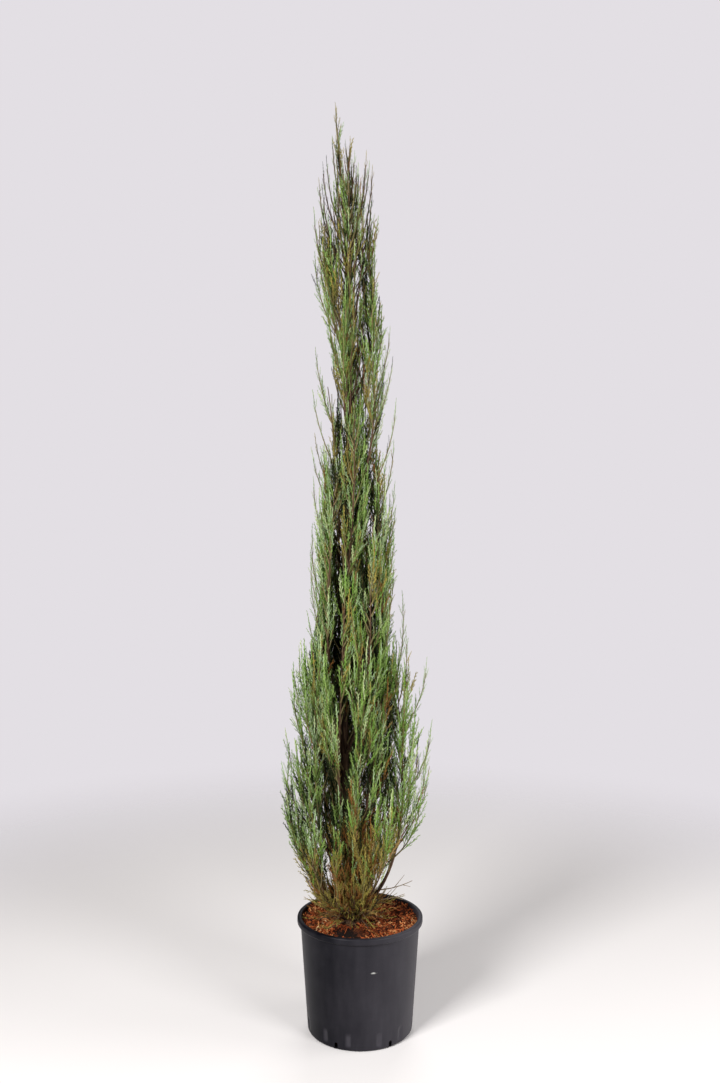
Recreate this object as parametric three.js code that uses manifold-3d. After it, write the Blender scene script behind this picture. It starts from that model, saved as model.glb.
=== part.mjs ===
// A slender columnar juniper in a black nursery pot, in millimetres, +Z up.
// The origin is the centre of the pot's flat underside. In the front view +X is to the right and +Y away.
// One trunk runs up through the foliage. Boughs leave it in a spiral and bend upright, and each one carries
// a mass of twigs and needles.
import * as THREE from "three";
import { mergeVertices } from "three/addons/utils/BufferGeometryUtils.js";
import Module from "manifold-3d";

const wasm = await Module();
wasm.setup();

// Clearance between pieces that meet
const SEAT = 0.3;

// Corners nearer than this are one corner
const SAME_CORNER = 1e-4;

// Pot
const POT_HEIGHT = 280;
const POT_RIM_RADIUS = 153.5;
const POT_FOOT_RADIUS = 128;
const POT_WALL = 3;
const POT_FLOOR = 4;
const POT_FOOT_ROUND = 7;
const FOOT_ROUND_SHARE = 0.3;
const LIP_REACH = 8;
const LIP_DEPTH = 16;
const LIP_ROUND = 4;
const POT_FACETS = 40;
const DRAIN_COUNT = 6;
const DRAIN_WIDTH = 9;
const DRAIN_HEIGHT = 15;
const DRAIN_DEPTH = 42;
const DRAIN_SILL = 3;
const FIRST_DRAIN = THREE.MathUtils.degToRad(-116);

// Potting bark that fills the pot
const GROUND_Z = 258;
const FOOT_FLAT = 55;
const BARK_RINGS = [85, 115];
const MOUND_RISE = 5;
const MOUND_WAVES = { x: 31, y: 37, ripple: 19 };
const RIPPLE_SHARE = 0.4;

// Trunk
const FOOT_X = -20;
const FOOT_Y = 2;
const TIP_Z = 2245;
const TRUNK_END_Z = 2050;
const TRUNK_RADIUS = 14;
const TRUNK_TIP_RADIUS = 2.2;
const TRUNK_TAPER = 0.85;
const FLARE = 7;
const FLARE_HEIGHT = 28;
const LEAN = 41;
const LEAN_POWER = 4;
const SWAY = 26;
const SWAY_SPAN = 0.6;
const DEPTH_SWAY = 12;
const TRUNK_SIDES = 8;
const TRUNK_STEPS = 22;

// Half-widths of the whole crown about its own axis, as [height, half-width]
const CROWN_X = -12;
const CROWN_OUTLINE = [
  [258, 80],
  [340, 130],
  [450, 160],
  [610, 182],
  [760, 172],
  [930, 152],
  [1040, 112],
  [1400, 96],
  [1850, 88],
  [2040, 66],
  [2150, 42],
  [2245, 10],
];

// Boughs
const BOUGH_COUNT = 25;
const FIRST_BOUGH_Z = 276;
const LAST_BOUGH_Z = 1810;
const BOUGH_CROWDING = 1.55;
const FIRST_AZIMUTH = THREE.MathUtils.degToRad(8);
const GOLDEN_ANGLE = Math.PI * (3 - Math.sqrt(5));
const AZIMUTH_SPREAD = 0.3;
const FOOT_SHOOT = 640;
const TOP_SHOOT = 270;
const SHOOT_SPREAD = 0.28;
const RUN_SHARES = [0.76, 0.6, 0.34];
const TIP_SHARE = 0.62;
const FOOT_ANGLE = THREE.MathUtils.degToRad(60);
const TOP_ANGLE = THREE.MathUtils.degToRad(30);
const TOP_ANGLE_FROM = 0.5;
const BOUGH_SHARE = 0.2;
const FOOT_BOUGH_RADIUS = 5.6;
const TOP_BOUGH_RADIUS = 3.2;
const STEM_TAPER = 0.55;
const STEM_TIP_RADIUS = 2;
const BOUGH_SIDES = 5;
const BOUGH_STEPS = 4;
const BOUGH_SAMPLES = 8;
const STEM_SAMPLES = 12;

// Short tufts round the trunk's foot
const TUFT_TURNS = [87, 172, 224, 309].map(THREE.MathUtils.degToRad);
const TUFT_Z = 272;
const TUFT_STEP = 9;
const TUFT_LENGTH = 150;
const TUFT_LEAN = THREE.MathUtils.degToRad(38);
const TUFT_RADIUS = 3.4;
const TUFT_ROOT_SHARE = 0.6;
const TUFT_KNEE = { out: 0.8, up: 0.35 };

// Twigs and needles of a mass
const BAND = 23;
const TWIST = 0.5;
const TWIG_EVERY = 2;
const TWIG_ANGLE = THREE.MathUtils.degToRad(32);
const TWIG_LENGTH = 130;
const TWIG_LENGTH_SPREAD = [0.85, 1.15];
const TOP_TWIG_SHARE = 0.6;
const TWIG_RADIUS = 3.2;
const TWIG_TIP_RADIUS = 2;
const TWIG_BEND = 0.75;
const TWIG_SAMPLES = 4;
const TWIG_PROBES = [0.4, 0.6, 0.8, 1];
const TWIG_ROOM = 2.5 * TWIG_RADIUS;
const TWIG_CLEARANCE = 1.5 * TWIG_RADIUS;
const WOOD_SIDES = 3;
const NEEDLE_LENGTH = 105;
const NEEDLE_LENGTH_SPREAD = [0.75, 1.2];
const NEEDLE_ANGLE = THREE.MathUtils.degToRad(19);
const NEEDLE_ANGLE_SPREAD = [0.8, 1.2];
const NEEDLE_WIDTH = 5;
const NEEDLE_PROBES = [0.2, 0.3, 0.4, 0.5, 0.6, 0.7, 0.8, 0.9, 1];
const TIP_NEEDLE = 70;
const LOWEST_FOLIAGE_Z = GROUND_Z + 2 * MOUND_RISE;
const SPACE_MARGIN = 1;
const TURNS_TRIED = [0, 0.7, -0.7, 1.4, -1.4];
const TWIG_SIZES_TRIED = [1, 0.7, 0.5];
const NEEDLES_TRIED = [
  [1, 1],
  [0.7, 1],
  [1.25, 0.8],
  [0.6, 0.65],
];

// What each random draw is for, and how many draws of a kind a mass keeps to itself
const DRAW = { shoot: 1, azimuth: 2, stemTurn: 3, twigLength: 4, needleLength: 5, needleAngle: 6 };
const TWIG_SEEDS = 40;
const NEEDLE_SEEDS = 200;
const WAVE = { item: 12.9898, draw: 78.233, height: 43758.5453 };

const lerp = THREE.MathUtils.lerp;
const UP = new THREE.Vector3(0, 0, 1);

const finish = (color, roughness) => new THREE.MeshStandardMaterial({ color, roughness, metalness: 0 });
const POT_PLASTIC = finish(0x2f3033, 0.55);
const POTTING_BARK = finish(0x7a4524, 0.95);
const BARK = finish(0x5a4030, 0.9);
const FOLIAGE = finish(0x6f8a6c, 0.8);
const FOOT_FOLIAGE = finish(0x7d7440, 0.85);

// A repeatable share from 0 to 1 for one draw of an item.
function chance(item, draw) {
  const wave = Math.sin(item * WAVE.item + draw * WAVE.draw) * WAVE.height;
  return wave - Math.floor(wave);
}

// Straight-line reading of a list of [position, value] pairs.
function readOutline(outline, at) {
  const last = outline.findIndex(([position]) => position >= at);
  if (last === 0) return outline[0][1];
  if (last < 0) return outline.at(-1)[1];
  const [p0, v0] = outline[last - 1];
  const [p1, v1] = outline[last];
  return lerp(v0, v1, (at - p0) / (p1 - p0));
}

// Solids

function solidOf(geometry) {
  const bare = geometry.clone();
  bare.deleteAttribute("normal");
  bare.deleteAttribute("uv");
  const merged = mergeVertices(bare, SAME_CORNER);
  return new wasm.Manifold(
    new wasm.Mesh({
      numProp: 3,
      vertProperties: merged.attributes.position.array,
      triVerts: new Uint32Array(merged.index.array),
    }),
  );
}

function geometryOf(solid) {
  const mesh = solid.getMesh();
  return new THREE.BufferGeometry()
    .setAttribute("position", new THREE.BufferAttribute(mesh.vertProperties, 3))
    .setIndex(new THREE.BufferAttribute(mesh.triVerts, 1));
}

// The largest body of a solid, without the loose scraps that a cut leaves.
function mainBody(solid) {
  return solid.decompose().reduce((best, body) => (body.volume() > best.volume() ? body : best));
}

// A closed geometry from rings of points with a flat cut at each end.
function closedRings(rings) {
  const sides = rings[0].length;
  const last = sides * (rings.length - 1);
  const faces = [];
  for (let start = 0; start < last; start += sides) {
    for (let k = 0; k < sides; k++) {
      const near = start + k;
      const far = start + ((k + 1) % sides);
      faces.push(near, far, near + sides);
      faces.push(far, far + sides, near + sides);
    }
  }
  for (let k = 1; k + 1 < sides; k++) {
    faces.push(0, k + 1, k);
    faces.push(last, last + k, last + k + 1);
  }
  return new THREE.BufferGeometry().setFromPoints(rings.flat()).setIndex(faces);
}

// A direction that leaves `along` by an angle, turned about it.
function sideways(along, turn, angle) {
  const across = new THREE.Vector3(1, 0, 0).addScaledVector(along, -along.x).normalize();
  return across
    .applyAxisAngle(along, turn)
    .multiplyScalar(Math.sin(angle))
    .addScaledVector(along, Math.cos(angle));
}

// The turn about `along` at which a direction lies.
function turnOf(along, direction) {
  const across = sideways(along, 0, Math.PI / 2);
  return Math.atan2(direction.dot(along.clone().cross(across)), direction.dot(across));
}

// Corners evenly round a centre, square to `along`.
function ringOf(sides, centre, along, radius, turn = 0) {
  return Array.from({ length: sides }, (_, k) => {
    const spoke = sideways(along, turn + (2 * Math.PI * k) / sides, Math.PI / 2);
    return spoke.multiplyScalar(radius).add(centre);
  });
}

// A round-sectioned limb along a curve up to share `to` of its length. Level rings give a flat foot.
function limbGeometry(curve, to, steps, sides, radiusAt, level = false) {
  const rings = Array.from({ length: steps + 1 }, (_, step) => {
    const u = (to * step) / steps;
    return ringOf(sides, curve.getPointAt(u), level ? UP : curve.getTangentAt(u), radiusAt(u));
  });
  return closedRings(rings);
}

// Pot and potting bark

// The pot's wall is straight between its foot and the underside of its lip.
function potWallRadius(z) {
  return lerp(POT_FOOT_RADIUS, POT_RIM_RADIUS - LIP_REACH, z / (POT_HEIGHT - LIP_DEPTH));
}

function turned(profile) {
  const points = profile.map(([radius, z]) => new THREE.Vector2(radius, z));
  return new THREE.LatheGeometry(points, POT_FACETS).rotateX(Math.PI / 2);
}

function potSolid() {
  const lipFoot = POT_HEIGHT - LIP_DEPTH;
  const inner = (z) => potWallRadius(z) - POT_WALL;
  const outline = [
    [0, 0],
    [POT_FOOT_RADIUS - POT_FOOT_ROUND, 0],
    [POT_FOOT_RADIUS - FOOT_ROUND_SHARE * POT_FOOT_ROUND, FOOT_ROUND_SHARE * POT_FOOT_ROUND],
    [potWallRadius(POT_FOOT_ROUND), POT_FOOT_ROUND],
    [potWallRadius(lipFoot), lipFoot],
    [POT_RIM_RADIUS, lipFoot + LIP_ROUND],
    [POT_RIM_RADIUS, POT_HEIGHT - LIP_ROUND],
    [POT_RIM_RADIUS - LIP_ROUND, POT_HEIGHT],
    [inner(lipFoot) + LIP_ROUND, POT_HEIGHT],
    [inner(lipFoot), POT_HEIGHT - LIP_ROUND],
    [inner(lipFoot), lipFoot],
    [inner(POT_FLOOR), POT_FLOOR],
    [0, POT_FLOOR],
  ];
  let pot = solidOf(turned(outline));
  for (let k = 0; k < DRAIN_COUNT; k++) {
    const drain = new THREE.BoxGeometry(DRAIN_DEPTH, DRAIN_WIDTH, DRAIN_HEIGHT);
    drain.translate(POT_FOOT_RADIUS, 0, DRAIN_SILL + DRAIN_HEIGHT / 2);
    drain.rotateZ(FIRST_DRAIN + (2 * Math.PI * k) / DRAIN_COUNT);
    pot = pot.subtract(solidOf(drain));
  }
  return pot;
}

// Low mounds in the bark, level against the pot's wall and under the trunk's foot.
function moundHeight(x, y) {
  const mound = Math.sin(x / MOUND_WAVES.x + 1) * Math.cos(y / MOUND_WAVES.y);
  return MOUND_RISE * (mound + RIPPLE_SHARE * Math.sin(y / MOUND_WAVES.ripple));
}

function pottingBarkSolid() {
  const wall = (z) => potWallRadius(z) - POT_WALL - SEAT;
  const floor = POT_FLOOR + SEAT;
  const geometry = turned([
    [0, floor],
    [wall(floor), floor],
    [wall(GROUND_Z), GROUND_Z],
    ...BARK_RINGS.toReversed().map((radius) => [radius, GROUND_Z]),
    [FOOT_FLAT, GROUND_Z],
    [0, GROUND_Z],
  ]);
  const position = geometry.attributes.position;
  for (let k = 0; k < position.count; k++) {
    const [x, y] = [position.getX(k), position.getY(k)];
    const onRing = BARK_RINGS.some((radius) => Math.abs(Math.hypot(x, y) - radius) < 1);
    if (onRing) position.setZ(k, GROUND_Z + moundHeight(x, y));
  }
  return solidOf(geometry);
}

// Trunk

// The trunk's line from the ground to the very tip: it sways low down and leans over at the top.
class TrunkLine extends THREE.Curve {
  getPoint(s, target = new THREE.Vector3()) {
    const sway = (1 - s) * Math.sin((Math.PI * s) / SWAY_SPAN);
    const depthSway = (1 - s) * Math.sin(2 * Math.PI * s);
    return target.set(
      FOOT_X - LEAN * s ** LEAN_POWER - SWAY * sway,
      FOOT_Y + DEPTH_SWAY * depthSway,
      lerp(GROUND_Z + SEAT, TIP_Z, s),
    );
  }
  getPointAt(s, target) {
    return this.getPoint(s, target);
  }
}

const trunkLine = new TrunkLine();
const trunkShare = (z) => (z - GROUND_Z - SEAT) / (TIP_Z - GROUND_Z - SEAT);
const trunkAt = (z) => trunkLine.getPoint(trunkShare(z));
const trunkEnd = trunkShare(TRUNK_END_Z);

// The crown leans over with the trunk but doesn't sway with it.
const crownX = (z) => CROWN_X - LEAN * trunkShare(z) ** LEAN_POWER;
const crownAxis = (z) => new THREE.Vector3(crownX(z), FOOT_Y, z);
const crownHalfWidth = (z) => readOutline(CROWN_OUTLINE, z);

function trunkRadius(s) {
  const flare = FLARE * Math.exp((-s * (TIP_Z - GROUND_Z)) / FLARE_HEIGHT);
  return lerp(TRUNK_RADIUS, TRUNK_TIP_RADIUS, Math.min(1, s / trunkEnd) ** TRUNK_TAPER) + flare;
}

function trunkSolid(clearance) {
  const radiusAt = (s) => trunkRadius(s) + clearance;
  return solidOf(limbGeometry(trunkLine, trunkEnd, TRUNK_STEPS, TRUNK_SIDES, radiusAt, true));
}

// Shoots: a bough and, past its tip, the stem of the mass that it carries, on one curve

// Where the needle that ends a stem or a twig comes to its point.
const pointPast = (curve) => curve.getPointAt(1).addScaledVector(curve.getTangentAt(1), TIP_NEEDLE);

// Points evenly along a line that is read by its share from 0 to 1.
const sampled = (pointAt, samples) => Array.from({ length: samples + 1 }, (_, k) => pointAt(k / samples));

function shoot(name, curve, boughShare, baseRadius) {
  const length = curve.getLength();
  const radiusAt = (u) => lerp(baseRadius, STEM_TIP_RADIUS, u ** STEM_TAPER);
  const stemStart = boughShare + SEAT / length;
  const stemPoint = (t) => curve.getPointAt(lerp(stemStart, 1, t));
  const boughPoint = (t) => curve.getPointAt(boughShare * t);
  const line = [...sampled(stemPoint, STEM_SAMPLES), pointPast(curve)];
  const boughLine = sampled(boughPoint, BOUGH_SAMPLES);
  return { name, curve, length, boughShare, stemStart, radiusAt, line, boughLine };
}

function boughShoot(i) {
  const climb = (i / (BOUGH_COUNT - 1)) ** BOUGH_CROWDING;
  const startZ = lerp(FIRST_BOUGH_Z, LAST_BOUGH_Z, climb);
  const spread = 1 + SHOOT_SPREAD * (chance(i, DRAW.shoot) - 0.5);
  const tipZ = startZ + lerp(FOOT_SHOOT, TOP_SHOOT, climb) * spread;
  const midZ = lerp(startZ, tipZ, 0.5);
  const azimuth = FIRST_AZIMUTH + i * GOLDEN_ANGLE + AZIMUTH_SPREAD * (chance(i, DRAW.azimuth) - 0.5);
  const outward = new THREE.Vector3(Math.cos(azimuth), Math.sin(azimuth), 0);
  const run = RUN_SHARES[i % RUN_SHARES.length] * crownHalfWidth(midZ);
  const leave = run / Math.tan(lerp(FOOT_ANGLE, TOP_ANGLE, Math.min(1, climb / TOP_ANGLE_FROM)));
  const curve = new THREE.CubicBezierCurve3(
    trunkAt(startZ),
    trunkAt(startZ).addScaledVector(outward, run).addScaledVector(UP, leave),
    crownAxis(midZ).addScaledVector(outward, run),
    crownAxis(tipZ).addScaledVector(outward, TIP_SHARE * crownHalfWidth(tipZ)),
  );
  const number = String(i + 1).padStart(2, "0");
  return shoot(number, curve, BOUGH_SHARE, lerp(FOOT_BOUGH_RADIUS, TOP_BOUGH_RADIUS, climb));
}

// A tuft's stem leaves the trunk's side with no bough under it.
function tuftShoot(turn, i) {
  const outward = new THREE.Vector3(Math.cos(turn), Math.sin(turn), 0);
  const z = TUFT_Z + TUFT_STEP * i;
  const start = trunkAt(z).addScaledVector(outward, TUFT_ROOT_SHARE * trunkRadius(trunkShare(z)));
  const reach = TUFT_LENGTH * Math.tan(TUFT_LEAN);
  const pointAt = (out, up) =>
    start.clone().addScaledVector(outward, out * reach).addScaledVector(UP, up * TUFT_LENGTH);
  const curve = new THREE.QuadraticBezierCurve3(start, pointAt(TUFT_KNEE.out, TUFT_KNEE.up), pointAt(1, 1));
  return shoot(`foot_${i + 1}`, curve, 0, TUFT_RADIUS);
}

// The leader goes on from the trunk's tip along the trunk's own line.
function leaderShoot() {
  const from = trunkEnd + SEAT / (TIP_Z - GROUND_Z);
  const to = trunkShare(TIP_Z - TIP_NEEDLE);
  const points = [from, lerp(from, to, 0.5), to].map((s) => trunkLine.getPoint(s));
  return shoot("leader", new THREE.CatmullRomCurve3(points), 0, TRUNK_TIP_RADIUS);
}

// Space for each mass

function distanceToLine(point, line) {
  let least = Infinity;
  for (let k = 0; k + 1 < line.length; k++) {
    const [a, b] = [line[k], line[k + 1]];
    const [dx, dy, dz] = [b.x - a.x, b.y - a.y, b.z - a.z];
    const [px, py, pz] = [point.x - a.x, point.y - a.y, point.z - a.z];
    const share = (px * dx + py * dy + pz * dz) / (dx * dx + dy * dy + dz * dz);
    const t = Math.min(1, Math.max(0, share));
    least = Math.min(least, Math.hypot(px - t * dx, py - t * dy, pz - t * dz));
  }
  return least;
}

// True where a point is inside the crown and nearer to its own mass's stem than to any other stem.
function inOwnSpace(own, point, margin) {
  if (point.z < LOWEST_FOLIAGE_Z || point.z > TIP_Z) return false;
  if (crownAxis(point.z).distanceTo(point) > crownHalfWidth(point.z)) return false;
  const home = distanceToLine(point, own.line);
  return shoots.every((other) => other === own || distanceToLine(point, other.line) - home > margin);
}

// True where a ball keeps clear of the trunk and of every bough.
function clearOfLimbs(own, centre, radius) {
  const axis = trunkAt(centre.z);
  const out = Math.hypot(centre.x - axis.x, centre.y - axis.y);
  const trunkSkin = centre.z < TRUNK_END_Z ? trunkRadius(trunkShare(centre.z)) : -Infinity;
  if (out < trunkSkin + radius + SPACE_MARGIN) return false;
  return boughs.every(({ line, boughLine, radiusAt }) => {
    if (distanceToLine(centre, boughLine) < radiusAt(0) + radius + SPACE_MARGIN) return false;
    return line === own.line || distanceToLine(centre, line) > radiusAt(0) + radius + SPACE_MARGIN;
  });
}

// The skin of one mass, grown face by face, so that its stem, twigs and needles are one closed surface

// True where an edge passes through a face that it shares no corner with.
function pierces([start, end], face) {
  if (face.includes(start) || face.includes(end)) return false;
  const length = start.distanceTo(end);
  const ray = new THREE.Ray(start, end.clone().sub(start).divideScalar(length));
  const hit = ray.intersectTriangle(...face, false, new THREE.Vector3());
  return hit !== null && hit.distanceTo(start) < length;
}

const edgesOf = ([a, b, c]) => [[a, b], [b, c], [c, a]];
const drawnOut = ([a, b, c], tip) => [[a, b, tip], [b, c, tip], [c, a, tip]];

class Skin {
  faces = [];

  add(face) {
    this.faces.push({ face, box: new THREE.Box3().setFromPoints(face) });
    return this.faces.at(-1);
  }

  // The faces between two rings. The lower face of each side is handed back as a site where a shoot may grow.
  band(lower, upper, along) {
    return lower.map((_, k) => {
      const next = (k + 1) % WOOD_SIDES;
      this.add([lower[next], upper[next], upper[k]]);
      const corners = [lower[k], lower[next], upper[k]];
      const outward = along.clone().cross(lower[k].clone().sub(lower[next])).normalize();
      const middle = new THREE.Triangle(...corners).getMidpoint(new THREE.Vector3());
      return { plain: this.add(corners), corners, along, outward, middle };
    });
  }

  // Wood of three sides along a curve from a first ring, ending in a point. Hands back its sites in rows.
  wood(curve, from, first, turn, radiusAt) {
    const bands = Math.max(2, Math.round((curve.getLength() * (1 - from)) / BAND));
    const rows = [];
    let ring = first;
    for (let n = 1; n <= bands; n++) {
      const u = lerp(from, 1, n / bands);
      const along = curve.getTangentAt(u);
      const next = ringOf(WOOD_SIDES, curve.getPointAt(u), along, radiusAt(u), turn + TWIST * n);
      rows.push(this.band(ring, next, along));
      ring = next;
    }
    drawnOut(ring, pointPast(curve)).forEach((face) => this.add(face));
    return rows;
  }

  // True where other faces would cross the skin.
  crossedBy(faces) {
    const box = new THREE.Box3().setFromPoints(faces.flat());
    const near = this.faces.filter((other) => other.box.intersectsBox(box));
    const cross = (a, b) => edgesOf(a).some((edge) => pierces(edge, b));
    return near.some(({ face: other }) => faces.some((face) => cross(face, other) || cross(other, face)));
  }

  // Opens a site, so that something drawn out of it takes the place of its plain face.
  open({ plain }) {
    this.faces.splice(this.faces.indexOf(plain), 1);
  }

  geometry() {
    return new THREE.BufferGeometry().setFromPoints(this.faces.flatMap(({ face }) => face));
  }
}

// True where a needle keeps in the mass's own space and off the limbs.
function needleHasRoom(own, root, tip) {
  const middle = root.clone().lerp(tip, 0.5);
  if (!inOwnSpace(own, tip, SPACE_MARGIN) || !inOwnSpace(own, middle, NEEDLE_WIDTH)) return false;
  return NEEDLE_PROBES.every((u) => {
    const halfWidth = 0.5 * NEEDLE_WIDTH * (1 - u);
    return clearOfLimbs(own, root.clone().lerp(tip, u), halfWidth);
  });
}

// Draws a needle out of a site, or leaves the site plain where no needle that is tried has room.
function growNeedle(own, skin, site, seed) {
  const { corners, along, outward, middle } = site;
  const length = NEEDLE_LENGTH * lerp(...NEEDLE_LENGTH_SPREAD, chance(seed, DRAW.needleLength));
  const angle = NEEDLE_ANGLE * lerp(...NEEDLE_ANGLE_SPREAD, chance(seed, DRAW.needleAngle));
  const tips = NEEDLES_TRIED.map(([lean, size]) => {
    const direction = along.clone().multiplyScalar(Math.cos(lean * angle));
    direction.addScaledVector(outward, Math.sin(lean * angle));
    return middle.clone().addScaledVector(direction, size * length);
  });
  const tip = tips.find((at) => needleHasRoom(own, middle, at) && !skin.crossedBy(drawnOut(corners, at)));
  if (!tip) return;
  skin.open(site);
  drawnOut(corners, tip).forEach((face) => skin.add(face));
}

// True where a point of a twig is clear of the mass's other wood.
function clearOfOwn(own, point, radius) {
  return own.wood.every((line) => distanceToLine(point, line) > TWIG_RADIUS + radius);
}

// A twig's curve out of a site, bending upright as it grows, or undefined where it has no room.
function twigCurve(own, { along, outward, middle }, length) {
  const tries = TWIG_SIZES_TRIED.flatMap((size) => TURNS_TRIED.map((turn) => [size * length, turn]));
  const curves = tries.map(([reach, turn]) => {
    const leave = sideways(along, turnOf(along, outward) + turn, TWIG_ANGLE);
    const knee = middle.clone().addScaledVector(leave, 0.5 * reach);
    const rise = leave.clone().lerp(UP, TWIG_BEND).normalize();
    return new THREE.QuadraticBezierCurve3(middle, knee, knee.clone().addScaledVector(rise, 0.5 * reach));
  });
  return curves.find((curve) => {
    const points = [...TWIG_PROBES.map((u) => curve.getPointAt(u)), pointPast(curve)];
    return points.every(
      (point) =>
        inOwnSpace(own, point, TWIG_ROOM) &&
        clearOfLimbs(own, point, TWIG_CLEARANCE) &&
        clearOfOwn(own, point, TWIG_CLEARANCE),
    );
  });
}

// One mass: its stem, twigs in a spiral up the stem, and needles from the faces that are left.
function massSolid(own, index) {
  const { curve, stemStart, radiusAt } = own;
  const skin = new Skin();
  const turn = 2 * Math.PI * chance(index, DRAW.stemTurn);
  const along = curve.getTangentAt(stemStart);
  const foot = ringOf(WOOD_SIDES, curve.getPointAt(stemStart), along, radiusAt(stemStart), turn);
  skin.add(foot.toReversed());
  own.wood = [own.line];
  const rows = skin.wood(curve, stemStart, foot, turn, radiusAt);
  const sites = rows.flatMap((row, n) => {
    const due = n % TWIG_EVERY === 0 ? row[(n / TWIG_EVERY) % WOOD_SIDES] : undefined;
    const spread = lerp(...TWIG_LENGTH_SPREAD, chance(TWIG_SEEDS * index + n, DRAW.twigLength));
    const length = TWIG_LENGTH * lerp(1, TOP_TWIG_SHARE, n / rows.length) * spread;
    const twig = due && twigCurve(own, due, length);
    if (!twig) return row;
    const crest = due.corners[2].clone().sub(due.middle);
    const twigTurn = turnOf(twig.getTangentAt(0), crest) - (4 * Math.PI) / WOOD_SIDES;
    const twigRadius = (u) => lerp(TWIG_RADIUS, TWIG_TIP_RADIUS, u);
    const branch = new Skin();
    const branchSites = branch.wood(twig, 0, due.corners, twigTurn, twigRadius).flat();
    if (skin.crossedBy(branch.faces.map(({ face }) => face))) return row;
    skin.open(due);
    skin.faces.push(...branch.faces);
    own.wood.push([...twig.getPoints(TWIG_SAMPLES).slice(1), pointPast(twig)]);
    return [...row.filter((site) => site !== due), ...branchSites];
  });
  sites.forEach((site, n) => growNeedle(own, skin, site, NEEDLE_SEEDS * index + n));
  return solidOf(skin.geometry());
}

// Assembly

const boughs = Array.from({ length: BOUGH_COUNT }, (_, i) => boughShoot(i));
const tufts = TUFT_TURNS.map(tuftShoot);
const shoots = [...boughs, ...tufts, leaderShoot()];
const trunkSpace = trunkSolid(SEAT);

function addNode(group, name, solid, material) {
  const mesh = new THREE.Mesh(geometryOf(solid), material);
  mesh.name = name;
  group.add(mesh);
}

const container = new THREE.Group();
addNode(container, "pot", potSolid(), POT_PLASTIC);
addNode(container, "potting_bark", pottingBarkSolid(), POTTING_BARK);

const limbs = new THREE.Group();
addNode(limbs, "trunk", trunkSolid(0), BARK);
for (const { name, curve, boughShare, radiusAt } of boughs) {
  const limb = solidOf(limbGeometry(curve, boughShare, BOUGH_STEPS, BOUGH_SIDES, radiusAt));
  addNode(limbs, `bough_${name}`, mainBody(limb.subtract(trunkSpace)), BARK);
}

const foliage = new THREE.Group();
shoots.forEach((own, index) => {
  const mass = mainBody(massSolid(own, index).subtract(trunkSpace));
  addNode(foliage, `foliage_${own.name}`, mass, tufts.includes(own) ? FOOT_FOLIAGE : FOLIAGE);
});

const juniper = new THREE.Group();
juniper.add(container, limbs, foliage);
export default juniper;
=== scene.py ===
"""A columnar juniper in a black nursery pot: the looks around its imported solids.

The pot, the potting bark, the limbs and every mass of foliage are made again here in full detail. The
foliage grows from the boughs by the rule that placed the solids, with the same sizes, and is carried on to
fine sprigs. The rule works in millimetres, and meshes are in metres.
"""

import logging
import math
from dataclasses import dataclass, field
from enum import IntEnum
from functools import partial
from typing import Any, Iterable, Iterator, Sequence

import bpy
import numpy as np
from bpy.types import Collection, Material, Mesh, Node, NodeSocket, NodeTree, Object
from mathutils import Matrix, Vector


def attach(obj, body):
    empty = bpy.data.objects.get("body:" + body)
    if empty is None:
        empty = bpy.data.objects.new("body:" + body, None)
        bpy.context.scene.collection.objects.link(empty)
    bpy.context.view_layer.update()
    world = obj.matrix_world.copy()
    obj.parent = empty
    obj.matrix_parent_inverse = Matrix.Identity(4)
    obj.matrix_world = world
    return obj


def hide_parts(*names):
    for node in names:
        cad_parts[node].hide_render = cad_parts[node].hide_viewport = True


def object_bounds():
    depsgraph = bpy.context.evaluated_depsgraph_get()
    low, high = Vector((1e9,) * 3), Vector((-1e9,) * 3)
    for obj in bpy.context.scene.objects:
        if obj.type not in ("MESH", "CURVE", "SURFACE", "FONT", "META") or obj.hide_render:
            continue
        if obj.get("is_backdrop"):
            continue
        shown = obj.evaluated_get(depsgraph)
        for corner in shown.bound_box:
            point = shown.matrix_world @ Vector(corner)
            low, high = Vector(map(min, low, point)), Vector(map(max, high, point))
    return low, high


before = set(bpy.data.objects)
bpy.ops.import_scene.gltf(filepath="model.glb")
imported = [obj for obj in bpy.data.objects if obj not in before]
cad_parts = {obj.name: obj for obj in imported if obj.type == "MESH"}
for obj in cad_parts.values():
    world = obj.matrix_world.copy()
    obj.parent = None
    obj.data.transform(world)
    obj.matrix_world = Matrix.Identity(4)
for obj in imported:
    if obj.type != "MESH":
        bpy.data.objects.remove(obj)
CAD_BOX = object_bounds()

LOG = logging.getLogger("juniper")
MM = 0.001
TURN = 2 * math.pi
BODY = "root"
UP = np.array([0.0, 0.0, 1.0])
Array = np.ndarray
Pair = tuple[float, float]
Point = tuple[float, float, float]
Row = tuple[float, ...]
Faces = list[list[int]]


# Small tools


def linear(hex_colour: str) -> tuple[float, float, float, float]:
    """Turns an sRGB hex colour into linear RGBA.

    Args:
        hex_colour: six hex digits.

    Returns:
        The linear colour, opaque.
    """
    parts = [int(hex_colour[k : k + 2], 16) / 255 for k in (0, 2, 4)]
    red, green, blue = (p / 12.92 if p <= 0.04045 else ((p + 0.055) / 1.055) ** 2.4 for p in parts)
    return red, green, blue, 1.0


def fill(node: Node, inputs: dict[str, Any]) -> None:
    """Sets or links a node's inputs.

    Args:
        node: the node.
        inputs: by socket identifier or name, a value, a socket to link from, or a node for its first output.
    """
    for key, value in inputs.items():
        socket = next(s for s in node.inputs if key in (s.identifier, s.name))
        if isinstance(value, Node):
            value = next(s for s in value.outputs if s.enabled)
        if isinstance(value, NodeSocket):
            node.id_data.links.new(value, socket)
        else:
            socket.default_value = value


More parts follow.
